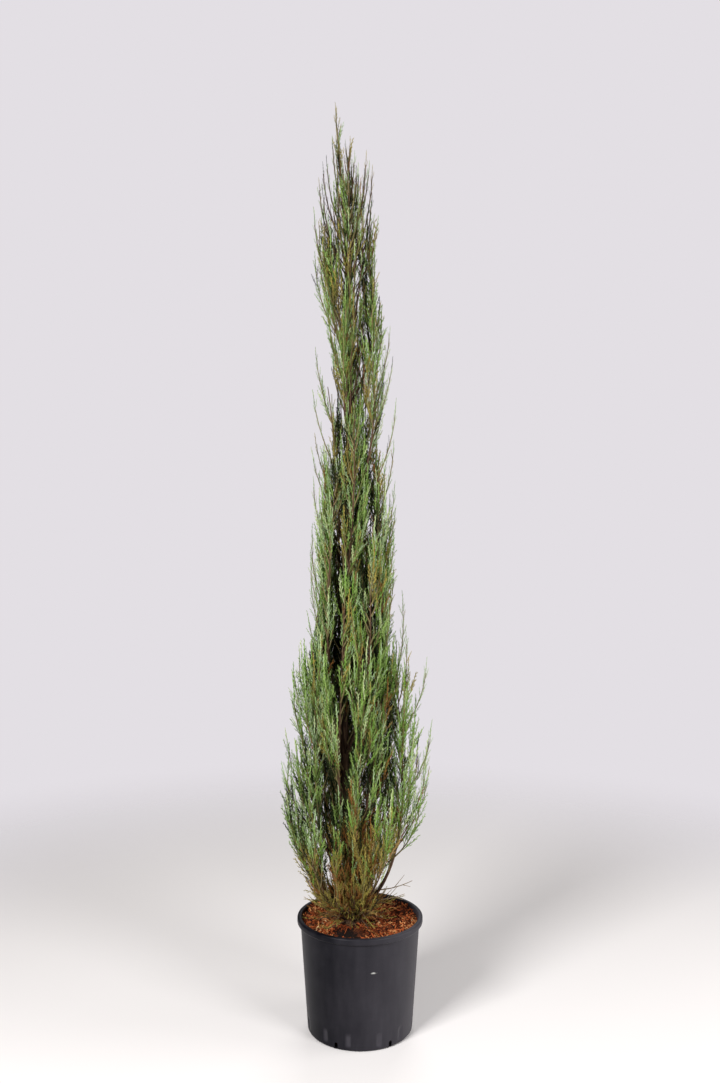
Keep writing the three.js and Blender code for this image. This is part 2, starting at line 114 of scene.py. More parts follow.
def add_node(
    tree: NodeTree,
    kind: str,
    inputs: dict[str, Any] | None = None,
    stops: Sequence[tuple[float, str]] = (),
    **settings: Any,
) -> Node:
    """Adds a node with its settings, and fills or links its inputs.

    Args:
        tree: the tree that gets the node.
        kind: the node's type name.
        inputs: what fill takes.
        stops: places and colours of a colour ramp, its two ends first.
        settings: property values by property name.

    Returns:
        The new node.
    """
    node = tree.nodes.new(kind)
    for name, value in settings.items():
        setattr(node, name, value)
    for number, (place, colour) in enumerate(stops):
        ramp = node.color_ramp.elements
        stop = ramp[number] if number < 2 else ramp.new(place)
        stop.position = place
        stop.color = linear(colour)
    fill(node, inputs or {})
    return node


def new_material(name: str, constants: dict[str, Any]) -> tuple[Material, partial, Node]:
    """Starts a material with constants on its shader's own sockets.

    Args:
        name: the material's name.
        constants: values by socket name.

    Returns:
        The material, what adds a node to it, and its shader.
    """
    made = bpy.data.materials.new(name)
    made.use_nodes = True
    shader = made.node_tree.nodes["Principled BSDF"]
    fill(shader, constants)
    return made, partial(add_node, made.node_tree), shader


def new_tree(
    name: str, sizes: dict[str, tuple[str, Any]], attributes: dict[str, str]
) -> tuple[NodeTree, partial, dict[str, NodeSocket]]:
    """Starts a geometry node tree with a geometry input, named sizes and attributes to read.

    Args:
        name: the tree's name.
        sizes: by input name, its socket type and default value.
        attributes: the data type of each attribute by name.

    Returns:
        The tree, what adds a node to it, and by name the sockets of its geometry, sizes and attributes.
    """
    tree = bpy.data.node_groups.new(name, "GeometryNodeTree")
    for way in ("INPUT", "OUTPUT"):
        tree.interface.new_socket("Geometry", in_out=way, socket_type="NodeSocketGeometry")
    for label, (kind, default) in sizes.items():
        tree.interface.new_socket(label, in_out="INPUT", socket_type=kind).default_value = default
    given = {socket.name: socket for socket in tree.nodes.new("NodeGroupInput").outputs}
    for label, kind in attributes.items():
        reader = add_node(tree, "GeometryNodeInputNamedAttribute", {"Name": label}, data_type=kind)
        given[label] = reader.outputs["Attribute"]
    return tree, partial(add_node, tree), given


def paint_by_tone(
    tree: NodeTree, geometry: Node, tone: Node | NodeSocket, finishes: Iterable["PlainFinish"]
) -> None:
    """Ends a tree: instances become real, and each face gets the finish that its tone number names.

    Args:
        tree: the tree to end.
        geometry: the mesh or instances.
        tone: a whole number for each face.
        finishes: the finishes in the order of their numbers.
    """
    last = add_node(tree, "GeometryNodeRealizeInstances", {"Geometry": geometry})
    for number, finish in enumerate(finishes):
        same = {"A_INT": tone, "B_INT": number}
        chosen = add_node(tree, "FunctionNodeCompare", same, data_type="INT", operation="EQUAL")
        paint = {"Geometry": last, "Selection": chosen, "Material": finish.material()}
        last = add_node(tree, "GeometryNodeSetMaterial", paint)
    add_node(tree, "NodeGroupOutput", {"Geometry": last})


def mesh_piece(
    name: str,
    points: Array,
    faces: Faces | None = None,
    edges: Faces | None = None,
    smooth: bool = True,
    scale: float = MM,
    home: Collection | None = None,
) -> Object:
    """Makes a mesh object at the origin.

    Args:
        name: the object's name.
        points: one row for each corner.
        faces: corner numbers of each face.
        edges: corner numbers of each edge, for a mesh of lines.
        smooth: whether the faces are shaded smooth.
        scale: what one unit of the points is, in metres.
        home: the collection that gets the object, or else the scene's own.

    Returns:
        The object.
    """
    mesh = bpy.data.meshes.new(name)
    mesh.from_pydata((np.asarray(points) * scale).tolist(), edges or [], faces or [])
    mesh.polygons.foreach_set("use_smooth", [smooth] * len(mesh.polygons))
    piece = bpy.data.objects.new(name, mesh)
    (home or bpy.context.scene.collection).objects.link(piece)
    return piece


def corners_of(mesh: Mesh) -> Array:
    """Reads a mesh's corners.

    Args:
        mesh: the mesh.

    Returns:
        One row for each corner, in metres.
    """
    corners = np.empty(3 * len(mesh.vertices))
    mesh.vertices.foreach_get("co", corners)
    return corners.reshape(-1, 3)


def set_attributes(mesh: Mesh, domain: str, columns: dict[str, tuple[str, Array]]) -> None:
    """Stores named attributes on a mesh.

    Args:
        mesh: the mesh.
        domain: what they are stored on.
        columns: by name, the data type and one value, or one vector, for each item.
    """
    for name, (kind, values) in columns.items():
        slot = "vector" if kind == "FLOAT_VECTOR" else "value"
        mesh.attributes.new(name, kind, domain).data.foreach_set(slot, np.asarray(values).ravel())


def keep_result(piece: Object) -> None:
    """Replaces an object's mesh by what its modifiers make of it, and removes them.

    Args:
        piece: the object.
    """
    depsgraph = bpy.context.evaluated_depsgraph_get()
    made = bpy.data.meshes.new_from_object(piece.evaluated_get(depsgraph), depsgraph=depsgraph)
    piece.modifiers.clear()
    spent, piece.data = piece.data, made
    bpy.data.meshes.remove(spent)
    made.name = piece.name


def apply_tree(piece: Object, tree: NodeTree, sizes: dict[str, Any]) -> None:
    """Runs a geometry node tree on an object and keeps the result as its plain mesh.

    Args:
        piece: the object that the tree works on.
        tree: the tree.
        sizes: values for the tree's named inputs.
    """
    modifier = piece.modifiers.new("rule", "NODES")
    modifier.node_group = tree
    for item in tree.interface.items_tree:
        if item.in_out == "INPUT" and item.name in sizes:
            modifier[item.identifier] = sizes[item.name]
    keep_result(piece)


def settle(piece: Object, slot: str, *nodes: str) -> None:
    """Lets a finished piece ride on the part's body, hides the solids that it stands for and reports it.

    Args:
        piece: the finished piece.
        slot: not used.
        nodes: the solids that it stands for.
    """
    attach(piece, BODY)
    if nodes:
        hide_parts(*nodes)
    LOG.info("%s: %d triangles, stands for %d solids", piece.name, triangles_in(piece.data), len(nodes))


def triangles_in(mesh: Mesh) -> int:
    """Counts a mesh's triangles."""
    return sum(len(p.vertices) - 2 for p in mesh.polygons)


def turned_faces(facets: int, rows: int, outward: bool) -> Faces:
    """Gives the faces round a turned grid that a middle point closes at each end.

    Args:
        facets: how many columns of corners go round.
        rows: how many corners a column has.
        outward: whether the rows run so that these faces look outward.

    Returns:
        Corner numbers of each face, where the two middle points come after the grid.
    """
    first, last = facets * rows, facets * rows + 1
    faces: Faces = []
    for j in range(facets):
        here, there = j * rows, ((j + 1) % facets) * rows
        faces += [[here + k, there + k, there + k + 1, here + k + 1] for k in range(rows - 1)]
        faces += [[first, there, here], [last, here + rows - 1, there + rows - 1]]
    return faces if outward else [[face[0], *face[:0:-1]] for face in faces]


def prism_faces(sides: int, sections: int, start: int = 0) -> Faces:
    """Gives the faces of a closed run of sections: its two ends, then its sides.

    Args:
        sides: how many corners a section has.
        sections: how many sections there are.
        start: the number of the first corner.

    Returns:
        Corner numbers of each face.
    """
    last = start + sides * (sections - 1)
    faces = [list(range(start, start + sides))[::-1], list(range(last, last + sides))]
    for low in range(start, last, sides):
        ring = [(low + k, low + (k + 1) % sides) for k in range(sides)]
        faces += [[here, there, there + sides, here + sides] for here, there in ring]
    return faces


def blend(low: Any, high: Any, share: Any) -> Any:
    """Reads the value at a share of the way from low to high."""
    return low + (high - low) * share


def ramp(value: Array, start: float, span: float) -> Array:
    """Gives 0 up to a start, 1 from a span past it, and an even climb between."""
    return np.clip((value - start) / span, 0, 1)


def unit(vectors: Array) -> Array:
    """Scales each vector to length one."""
    return vectors / np.maximum(np.linalg.norm(vectors, axis=-1, keepdims=True), 1e-9)


def heading(turn: float) -> Array:
    """Gives the level direction at a turn from +X."""
    return np.array([math.cos(turn), math.sin(turn), 0.0])


def spoke(along: Array, turn: Array | float) -> Array:
    """Gives directions square to others, turned about them.

    Args:
        along: the directions to be square to.
        turn: the turn about each one, in radians, from the side of +X.

    Returns:
        Unit vectors.
    """
    across = unit(np.array([1.0, 0.0, 0.0]) - along * along[..., :1])
    turn = np.asarray(turn)[..., None]
    return np.cos(turn) * across + np.sin(turn) * np.cross(along, across)


# Finishes


@dataclass(frozen=True)
class PlainFinish:
    """A finish of one colour, for things too small to show a pattern."""

    name: str
    colour: str
    roughness: float = 0.65
    specular: float = 0.15

    def material(self) -> Material:
        """Makes the material."""
        dull = {"Roughness": self.roughness, "Specular IOR Level": self.specular}
        return new_material(self.name, {"Base Color": linear(self.colour), **dull})[0]


class Tone(IntEnum):
    """The colours of juniper sprigs, from the shaded inside to the waxy tips."""

    DEEP = 0
    MID = 1
    GREY = 2
    BLUE = 3
    PALE = 4
    FRESH = 5
    OLIVE = 6
    YELLOW = 7
    RUST = 8
    STRAW = 9


# Scale leaves are matt with a thin wax, so sprigs look soft, and greyer where the wax is thick
SPRIG_FINISHES = {
    Tone.DEEP: PlainFinish("sprig_deep_green", "1f270f"),  # almost black: dealt a little everywhere, and as painted shade inside the crown
    Tone.MID: PlainFinish("sprig_mid_green", "597230"),  # the plain body colour
    Tone.GREY: PlainFinish("sprig_grey_green", "7f9950"),  # a thin wax dulls the green
    Tone.BLUE: PlainFinish("sprig_waxy_green", "94aa7c"),  # thicker wax looks cool and silvery
    Tone.PALE: PlainFinish("sprig_waxy_tip", "aebc86"),  # the palest tips in full light
    Tone.FRESH: PlainFinish("sprig_fresh_green", "6e923a"),  # young leaves, brighter and yellower
    Tone.OLIVE: PlainFinish("sprig_olive", "736a34"),  # ageing leaves with brown twig between them
    Tone.YELLOW: PlainFinish("sprig_yellow_olive", "938640"),  # leaves about to die
    Tone.RUST: PlainFinish("sprig_dead_rust", "80562a"),  # dead leaves low at the foot
    Tone.STRAW: PlainFinish("sprig_dead_straw", "9a7d4c"),  # long-dead leaves, bleached
}

# The tone of a sprig's last third, where it isn't that of the rest
TIP_TONES = {
    Tone.MID: Tone.GREY,
    Tone.GREY: Tone.BLUE,
    Tone.BLUE: Tone.PALE,
    Tone.FRESH: Tone.GREY,
    Tone.OLIVE: Tone.YELLOW,
}


class TwigAge(IntEnum):
    """What a twig's bark looks like."""

    WOODY = 0
    YOUNG = 1
    DEAD = 2


Line = tuple[Array, Array, TwigAge]

TWIG_FINISHES = {
    TwigAge.WOODY: PlainFinish("twig_brown_bark", "4f3a2c", 0.85, 0.2),  # dry brown wood between the sprays
    TwigAge.YOUNG: PlainFinish("twig_tan_green_bark", "6a5f3c", 0.75, 0.25),  # smoother, still a little green
    TwigAge.DEAD: PlainFinish("twig_dead_grey_wood", "8b7a63", 0.9, 0.15),  # bare wood, bleached and dull
}

# Split bark with no shine, darker where it is damp
CHIP_FINISHES = (
    PlainFinish("bark_chip_dark", "1b0b05", 0.9, 0.2),  # wet bark in the chinks
    PlainFinish("bark_chip_umber", "451c09", 0.9, 0.2),  # damp outer bark
    PlainFinish("bark_chip_russet", "733414", 0.88, 0.2),  # inner bark, red-brown
    PlainFinish("bark_chip_orange", "a5532a", 0.85, 0.2),  # freshly split inner bark
    PlainFinish("bark_chip_tan", "c08452", 0.85, 0.2),  # dry fibres on top
    PlainFinish("bark_chip_pale_wood", "e2c898", 0.8, 0.2),  # a few splinters of wood
)


@dataclass(frozen=True)
class PotPlastic:
    """Injection-moulded black polypropylene: charcoal with a soft sheen, faint streaks and scuffs, and a
    painted highlight on its right side and its flutes.
    """

    name: str = "black_moulded_polypropylene"
    dark: str = "05050c"
    dark_at: float = 0.06
    # The paler end of the ramp is reached where the weathering and the painted highlights add up
    worn_and_lit: str = "37353a"
    worn_and_lit_at: float = 0.5
    scuff: str = "bdbdb8"
    mottle_mm: float = 85.0
    streak_mm: float = 22.0
    streak_squash: Point = (1.0, 1.0, 0.15)
    # A real moulded grain is under 1 mm and wouldn't show, so it is drawn coarser
    grain_mm: float = 2.5
    grain_height: float = 0.0004
    weather_share: float = 0.4
    lit_side_from: float = -80.0
    lit_side_to: float = 150.0
    lit_side_most: float = 0.42
    scuff_at: Point = (32.0, -137.0, 194.0)
    scuff_mm: float = 8.5
    scuff_stretch: Point = (1.3, 1.3, 0.45)
    scuff_edge: Pair = (0.6, 1.2)
    scuff_most: float = 0.8
    flute_highlight: float = 0.3
    sheen: Pair = (0.3, 0.5)

    def material(self) -> Material:
        """Makes the material, with patterns sized in millimetres on the pot's own place.

        Returns:
            The material.
        """
        # The index of polypropylene, with most of its shine worn off: a wide, faint highlight
        made, node, shader = new_material(self.name, {"IOR": 1.49, "Specular IOR Level": 0.1})
        place = node("ShaderNodeTexCoord").outputs["Object"]
        spots = {"Vector": place, "Scale": 1 / (self.mottle_mm * MM), "Detail": 5.0, "Roughness": 0.6}
        mottle = node("ShaderNodeTexNoise", spots)
        squeezed = node("ShaderNodeMapping", {"Vector": place, "Scale": self.streak_squash})
        runs = {"Vector": squeezed, "Scale": 1 / (self.streak_mm * MM), "Detail": 4.0}
        streaks = node("ShaderNodeTexNoise", runs)
        both = {"Value": mottle, "Value_001": streaks}
        weathered = node("ShaderNodeMath", both, operation="MULTIPLY")
        # Painted highlight: the pot is painted paler towards its right side, as if lit from there
        sideways = node("ShaderNodeSeparateXYZ", {"Vector": place})
        side = {"From Min": self.lit_side_from * MM, "From Max": self.lit_side_to * MM, "To Max": self.lit_side_most}
        lit_side = node("ShaderNodeMapRange", {"Value": sideways, **side})
        weathering_and_light = {"Value": weathered, "Value_001": self.weather_share, "Value_002": lit_side}
        weathered_and_lit = node("ShaderNodeMath", weathering_and_light, operation="MULTIPLY_ADD")
        # Painted highlight: the flutes are painted paler, as if they caught the light
        pressed = node("ShaderNodeAttribute", attribute_name="flute").outputs["Fac"]
        flute_light = {"Value": pressed, "Value_001": self.flute_highlight, "Value_002": weathered_and_lit}
        with_flute_highlight = node("ShaderNodeMath", flute_light, operation="MULTIPLY_ADD")
        shades = ((self.dark_at, self.dark), (self.worn_and_lit_at, self.worn_and_lit))
        body = node("ShaderNodeValToRGB", {"Fac": with_flute_highlight}, shades)
        # One pale rub mark on the front, ragged at its edge
        spot = {"Location": tuple(c * MM for c in self.scuff_at), "Scale": self.scuff_stretch}
        off = node("ShaderNodeMapping", {"Vector": place, **spot}, vector_type="TEXTURE")
        apart = node("ShaderNodeVectorMath", {"Vector": off}, operation="LENGTH")
        specks = {"Vector": place, "Scale": 1 / (self.grain_mm * MM), "Detail": 3.0}
        fine = node("ShaderNodeTexNoise", specks)
        torn = {"Value": fine, "Value_001": self.scuff_mm * MM, "Value_002": apart}
        ragged = node("ShaderNodeMath", torn, operation="MULTIPLY_ADD")
        near, far = (share * self.scuff_mm * MM for share in self.scuff_edge)
        fading = {"From Min": near, "From Max": far, "To Min": self.scuff_most, "To Max": 0.0}
        rub = node("ShaderNodeMapRange", {"Value": ragged, **fading})
        layers = {"Factor_Float": rub, "A_Color": body, "B_Color": linear(self.scuff)}
        colour = node("ShaderNodeMix", layers, data_type="RGBA")
        dull, glossy = self.sheen[1], self.sheen[0]
        sheen = node("ShaderNodeMapRange", {"Value": streaks, "To Min": glossy, "To Max": dull})
        grain = node("ShaderNodeBump", {"Strength": 0.25, "Distance": self.grain_height, "Height": fine})
        fill(shader, {"Base Color": colour, "Roughness": sheen, "Normal": grain})
        return made


@dataclass(frozen=True)
class StringyBark:
    """Juniper bark: grey-brown fibres that run up the limb, with redder wood in the furrows."""

    name: str = "stringy_juniper_bark"
    # All three colours are painted darker than the bark's own, as painted shade for the trunk inside the
    # crown
    furrow: tuple[float, str] = (0.32, "190f09")
    fibre: tuple[float, str] = (0.5, "3a281b")
    weathered: tuple[float, str] = (0.72, "544432")
    # Real fibres are about 1 mm wide and wouldn't show, so they are drawn coarser
    fibre_mm: float = 3.0
    stretch: float = 0.08
    ridge_height: float = 0.0012

    def material(self) -> Material:
        """Makes the material, with fibres along Z.

        Returns:
            The material.
        """
        # Dry fibrous bark scatters light and has no highlight
        made, node, shader = new_material(self.name, {"Roughness": 0.9, "Specular IOR Level": 0.2})
        place = node("ShaderNodeTexCoord").outputs["Object"]
        drawn = node("ShaderNodeMapping", {"Vector": place, "Scale": (1.0, 1.0, self.stretch)})
        strands = {"Vector": drawn, "Scale": 1 / (self.fibre_mm * MM), "Detail": 5.0}
        fibres = node("ShaderNodeTexNoise", strands)
        tint = node("ShaderNodeValToRGB", {"Fac": fibres}, (self.furrow, self.weathered, self.fibre))
        ridges = node("ShaderNodeBump", {"Strength": 0.6, "Distance": self.ridge_height, "Height": fibres})
        fill(shader, {"Base Color": tint, "Normal": ridges})
        return made


@dataclass(frozen=True)
class DampBark:
    """Damp composted bark between the chips: dark red-brown crumbs."""

    name: str = "damp_composted_bark"
    dark: tuple[float, str] = (0.36, "110805")
    light: tuple[float, str] = (0.68, "663218")
    crumb_mm: float = 5.0
    crumb_height: float = 0.003
    lightness_share: float = 0.4

    def material(self) -> Material:
        """Makes the material, with crumbs in colour and bump.

        Returns:
            The material.
        """
        # Crumbs are matt even when damp: dark gaps and no shine
        made, node, shader = new_material(self.name, {"Roughness": 0.95, "Specular IOR Level": 0.2})
        place = node("ShaderNodeTexCoord").outputs["Object"]
        grains = {"Vector": place, "Scale": 1 / (self.crumb_mm * MM), "Detail": 6.0, "Roughness": 0.65}
        crumbs = node("ShaderNodeTexNoise", grains)
        # Painted shade: darker where the bed is hollow; the attribute also carries the bed's paler patches
        paler = node("ShaderNodeAttribute", attribute_name="lightness").outputs["Fac"]
        lightening = {"Value": paler, "Value_001": self.lightness_share, "Value_002": crumbs}
        lightened = node("ShaderNodeMath", lightening, operation="MULTIPLY_ADD")
        tint = node("ShaderNodeValToRGB", {"Fac": lightened}, (self.dark, self.light))
        lumps = node("ShaderNodeBump", {"Strength": 0.8, "Distance": self.crumb_height, "Height": crumbs})
        fill(shader, {"Base Color": tint, "Normal": lumps})
        return made


@dataclass(frozen=True)
class PaleFloor:
    """A plain pale floor that fades out with distance, so that it has no edge in any view."""

    name: str = "pale_floor"
    colour: str = "ece8e6"
    solid_to: float = 1.0
    gone_at: float = 2.7

    def material(self) -> Material:
        """Makes the material.

        Returns:
            The material.
        """
        # Satin paint: it takes a soft shadow and hardly any reflection
        satin = {"Base Color": linear(self.colour), "Roughness": 0.5, "Specular IOR Level": 0.3}
        made, node, shader = new_material(self.name, satin)
        place = node("ShaderNodeTexCoord").outputs["Object"]
        reach = node("ShaderNodeVectorMath", {"Vector": place}, operation="LENGTH")
        span = {"Value": reach, "From Min": self.solid_to, "From Max": self.gone_at}
        fade = node("ShaderNodeMapRange", span, interpolation_type="SMOOTHSTEP")
        gone = node("ShaderNodeBsdfTransparent")
        ends = {"Fac": fade, "Shader": shader, "Shader_001": gone}
        both = node("ShaderNodeMixShader", ends)
        fill(made.node_tree.nodes["Material Output"], {"Surface": both})
        return made


# The growth rule


class Purpose(IntEnum):
    """What a repeatable chance decides."""

    BOUGH_LENGTH = 1
    BOUGH_TURN = 2
    FIRST_BAND = 3
    TWIG_LENGTH = 4
    NEEDLE_LENGTH = 5
    NEEDLE_ANGLE = 6
    WHIP = 8
    BARE = 9
    FOOT_LENGTH = 11
    HIGH_LENGTH = 12
    HIGH_LEAN = 13
    SHAGGY_LENGTH = 14
    SHAGGY_LEAN = 15
    SHAGGY_HEIGHT = 16


def chance(item: int, purpose: Purpose) -> float:
    """Gives a repeatable share from 0 to 1 for an item and a purpose."""
    wave = math.sin(item * 12.9898 + purpose * 78.233) * 43758.5453
    return wave - math.floor(wave)


def even_path(controls: Sequence[Array], count: int = 65) -> Array:
    """Samples a Bezier curve at even distances along it.

    Args:
        controls: the curve's control points.
        count: how many points to give.

    Returns:
        One row for each point.
    """
    share = np.linspace(0, 1, 4 * count)[:, None]
    level = [np.broadcast_to(c, (len(share), 3)) for c in controls]
    while len(level) > 1:
        level = [blend(a, b, share) for a, b in zip(level, level[1:])]
    travelled = np.r_[0, np.cumsum(np.linalg.norm(np.diff(level[0], axis=0), axis=1))]
    even = np.linspace(0, travelled[-1], count)
    return np.stack([np.interp(even, travelled, level[0][:, k]) for k in range(3)], axis=1)


@dataclass(frozen=True)
class Stem:
    """A length of wood along a path, thinner towards its tip."""

    path: Array
    base_radius: float
    tip_radius: float
    taper: float = 1.0

    @property
    def length(self) -> float:
        """The path's length."""
        return float(np.linalg.norm(np.diff(self.path, axis=0), axis=1).sum())

    def at(self, share: Array | float) -> Array:
        """Gives the points at shares of the length."""
        even = np.linspace(0, 1, len(self.path))
        return np.stack([np.interp(share, even, self.path[:, k]) for k in range(3)], axis=-1)

    def along(self, share: Array | float, step: float = 0.01) -> Array:
        """Gives the unit tangents at shares of the length."""
        low, high = np.clip(share - step, 0, 1), np.clip(share + step, 0, 1)
        return unit(self.at(high) - self.at(low))

    def radius(self, share: Array | float) -> Array:
        """Gives the radii at shares of the length."""
        return blend(self.base_radius, self.tip_radius, np.asarray(share) ** self.taper)


@dataclass(frozen=True)
class Shoot:
    """A bough and, past its tip, the stem of the mass that it carries."""

    node: str
    index: int
    stem: Stem
    bough_share: float


@dataclass(frozen=True)
class GrowthRule:
    """The sizes that placed the solids, in millimetres, and the lines that follow from them."""

    seat: float = 0.3
    ground_z: float = 258.0
    tip_z: float = 2245.0
    trunk_end_z: float = 2050.0
    foot_x: float = -20.0
    foot_y: float = 2.0
    trunk_foot_radius: float = 14.0
    trunk_tip_radius: float = 2.2
    trunk_taper: float = 0.85
    flare: float = 7.0
    flare_height: float = 28.0
    lean: float = 41.0
    lean_power: int = 4
    sway: float = 26.0
    sway_span: float = 0.6
    depth_sway: float = 12.0
    crown_x: float = -12.0
    outline_z: Row = (258, 340, 450, 610, 760, 930, 1040, 1400, 1850, 2040, 2150, 2245)
    outline_half_width: Row = (80, 130, 160, 182, 172, 152, 112, 96, 88, 66, 42, 10)
    bough_count: int = 25
    first_bough_z: float = 276.0
    last_bough_z: float = 1810.0
    bough_crowding: float = 1.55
    first_azimuth: float = math.radians(8)
    golden_angle: float = math.pi * (3 - math.sqrt(5))
    azimuth_spread: float = 0.3
    foot_shoot: float = 640.0
    top_shoot: float = 270.0
    shoot_spread: float = 0.28
    run_shares: Row = (0.76, 0.6, 0.34)
    tip_share: float = 0.62
    foot_angle: float = math.radians(60)
    top_angle: float = math.radians(30)
    bough_share: float = 0.2
    foot_bough_radius: float = 5.6
    top_bough_radius: float = 3.2
    stem_tip_radius: float = 2.0
    stem_taper: float = 0.55
    tuft_turns: Row = (87, 172, 224, 309)
    tuft_z: float = 272.0
    tuft_step: float = 9.0
    tuft_length: float = 150.0
    tuft_lean: float = math.radians(38)
    tuft_radius: float = 3.4
    tuft_root: float = 0.6
    tuft_knee: Pair = (0.8, 0.35)
    tip_needle: float = 70.0
    leader_points: int = 65

    def share(self, z: Array | float) -> Array:
        """Gives the share of the way from the ground to the tip at a height."""
        foot = self.ground_z + self.seat
        return (np.asarray(z, float) - foot) / (self.tip_z - foot)

    def trunk_at(self, z: Array | float) -> Array:
        """Gives the middle of the trunk.

        Args:
            z: heights.

        Returns:
            One point for each height.
        """
        s = self.share(z)
        sway = (1 - s) * np.sin(np.pi * s / self.sway_span)
        depth = (1 - s) * np.sin(2 * np.pi * s)
        x = self.foot_x - self.lean * s**self.lean_power - self.sway * sway
        y = self.foot_y + self.depth_sway * depth
        return np.stack([x, y, np.asarray(z, float)], axis=-1)

    def trunk_radius(self, z: Array | float) -> Array:
        """Gives the trunk's radius, with the flare at its foot.

        Args:
            z: heights.

        Returns:
            One radius for each height.
        """
        s = np.maximum(self.share(z), 0)
        climbed = np.minimum(1, s / self.share(self.trunk_end_z)) ** self.trunk_taper
        flare = self.flare * np.exp(-s * (self.tip_z - self.ground_z) / self.flare_height)
        return blend(self.trunk_foot_radius, self.trunk_tip_radius, climbed) + flare

    def crown_axis(self, z: Array | float) -> Array:
        """Gives the middle of the crown.

        Args:
            z: heights.

        Returns:
            One point for each height.
        """
        z = np.asarray(z, float)
        x = self.crown_x - self.lean * self.share(z) ** self.lean_power
        return np.stack([x, np.full_like(z, self.foot_y), z], axis=-1)

    def half_width(self, z: Array | float) -> Array:
        """Gives the crown's half-width at a height."""
        return np.interp(z, self.outline_z, self.outline_half_width)

    def bough(self, i: int) -> Shoot:
        """Gives the shoot of one bough.

        Args:
            i: the bough's number, counted from the foot.

        Returns:
            The shoot.
        """
        climb = (i / (self.bough_count - 1)) ** self.bough_crowding
        start_z = blend(self.first_bough_z, self.last_bough_z, climb)
        spread = 1 + self.shoot_spread * (chance(i, Purpose.BOUGH_LENGTH) - 0.5)
        tip_z = start_z + blend(self.foot_shoot, self.top_shoot, climb) * spread
        mid_z = blend(start_z, tip_z, 0.5)
        off = self.azimuth_spread * (chance(i, Purpose.BOUGH_TURN) - 0.5)
        out = heading(self.first_azimuth + i * self.golden_angle + off)
        run = self.run_shares[i % len(self.run_shares)] * self.half_width(mid_z)
        leave = run / math.tan(blend(self.foot_angle, self.top_angle, min(1, 2 * climb)))
        start = self.trunk_at(start_z)
        knee = start + out * run + UP * leave
        middle = self.crown_axis(mid_z) + out * run
        tip = self.crown_axis(tip_z) + out * self.tip_share * self.half_width(tip_z)
        base = blend(self.foot_bough_radius, self.top_bough_radius, climb)
        stem = Stem(even_path([start, knee, middle, tip]), base, self.stem_tip_radius, self.stem_taper)
        return Shoot(f"foliage_{i + 1:02d}", i, stem, self.bough_share)

    def tuft(self, i: int) -> Shoot:
        """Gives the shoot of one tuft at the trunk's foot.

        Args:
            i: the tuft's number.

        Returns:
            The shoot.
        """
        out = heading(math.radians(self.tuft_turns[i]))
        z = self.tuft_z + self.tuft_step * i
        start = self.trunk_at(z) + out * self.tuft_root * self.trunk_radius(z)
        reach = self.tuft_length * math.tan(self.tuft_lean)
        across, climb = self.tuft_knee
        knee = start + out * across * reach + UP * climb * self.tuft_length
        path = even_path([start, knee, start + out * reach + UP * self.tuft_length])
        stem = Stem(path, self.tuft_radius, self.stem_tip_radius, self.stem_taper)
        return Shoot(f"foliage_foot_{i + 1}", self.bough_count + i, stem, 0.0)

    def leader(self) -> Shoot:
        """Gives the shoot that goes on from the trunk's tip.

        Returns:
            The shoot.
        """
        heights = np.linspace(self.trunk_end_z, self.tip_z - self.tip_needle, self.leader_points)
        stem = Stem(self.trunk_at(heights), self.trunk_tip_radius, self.stem_tip_radius, self.stem_taper)
        return Shoot("foliage_leader", self.bough_count + len(self.tuft_turns), stem, 0.0)

    def shoots(self) -> list[Shoot]:
        """Gives every shoot: boughs from the foot up, tufts, leader."""
        tufts = [self.tuft(i) for i in range(len(self.tuft_turns))]
        return [*(self.bough(i) for i in range(self.bough_count)), *tufts, self.leader()]


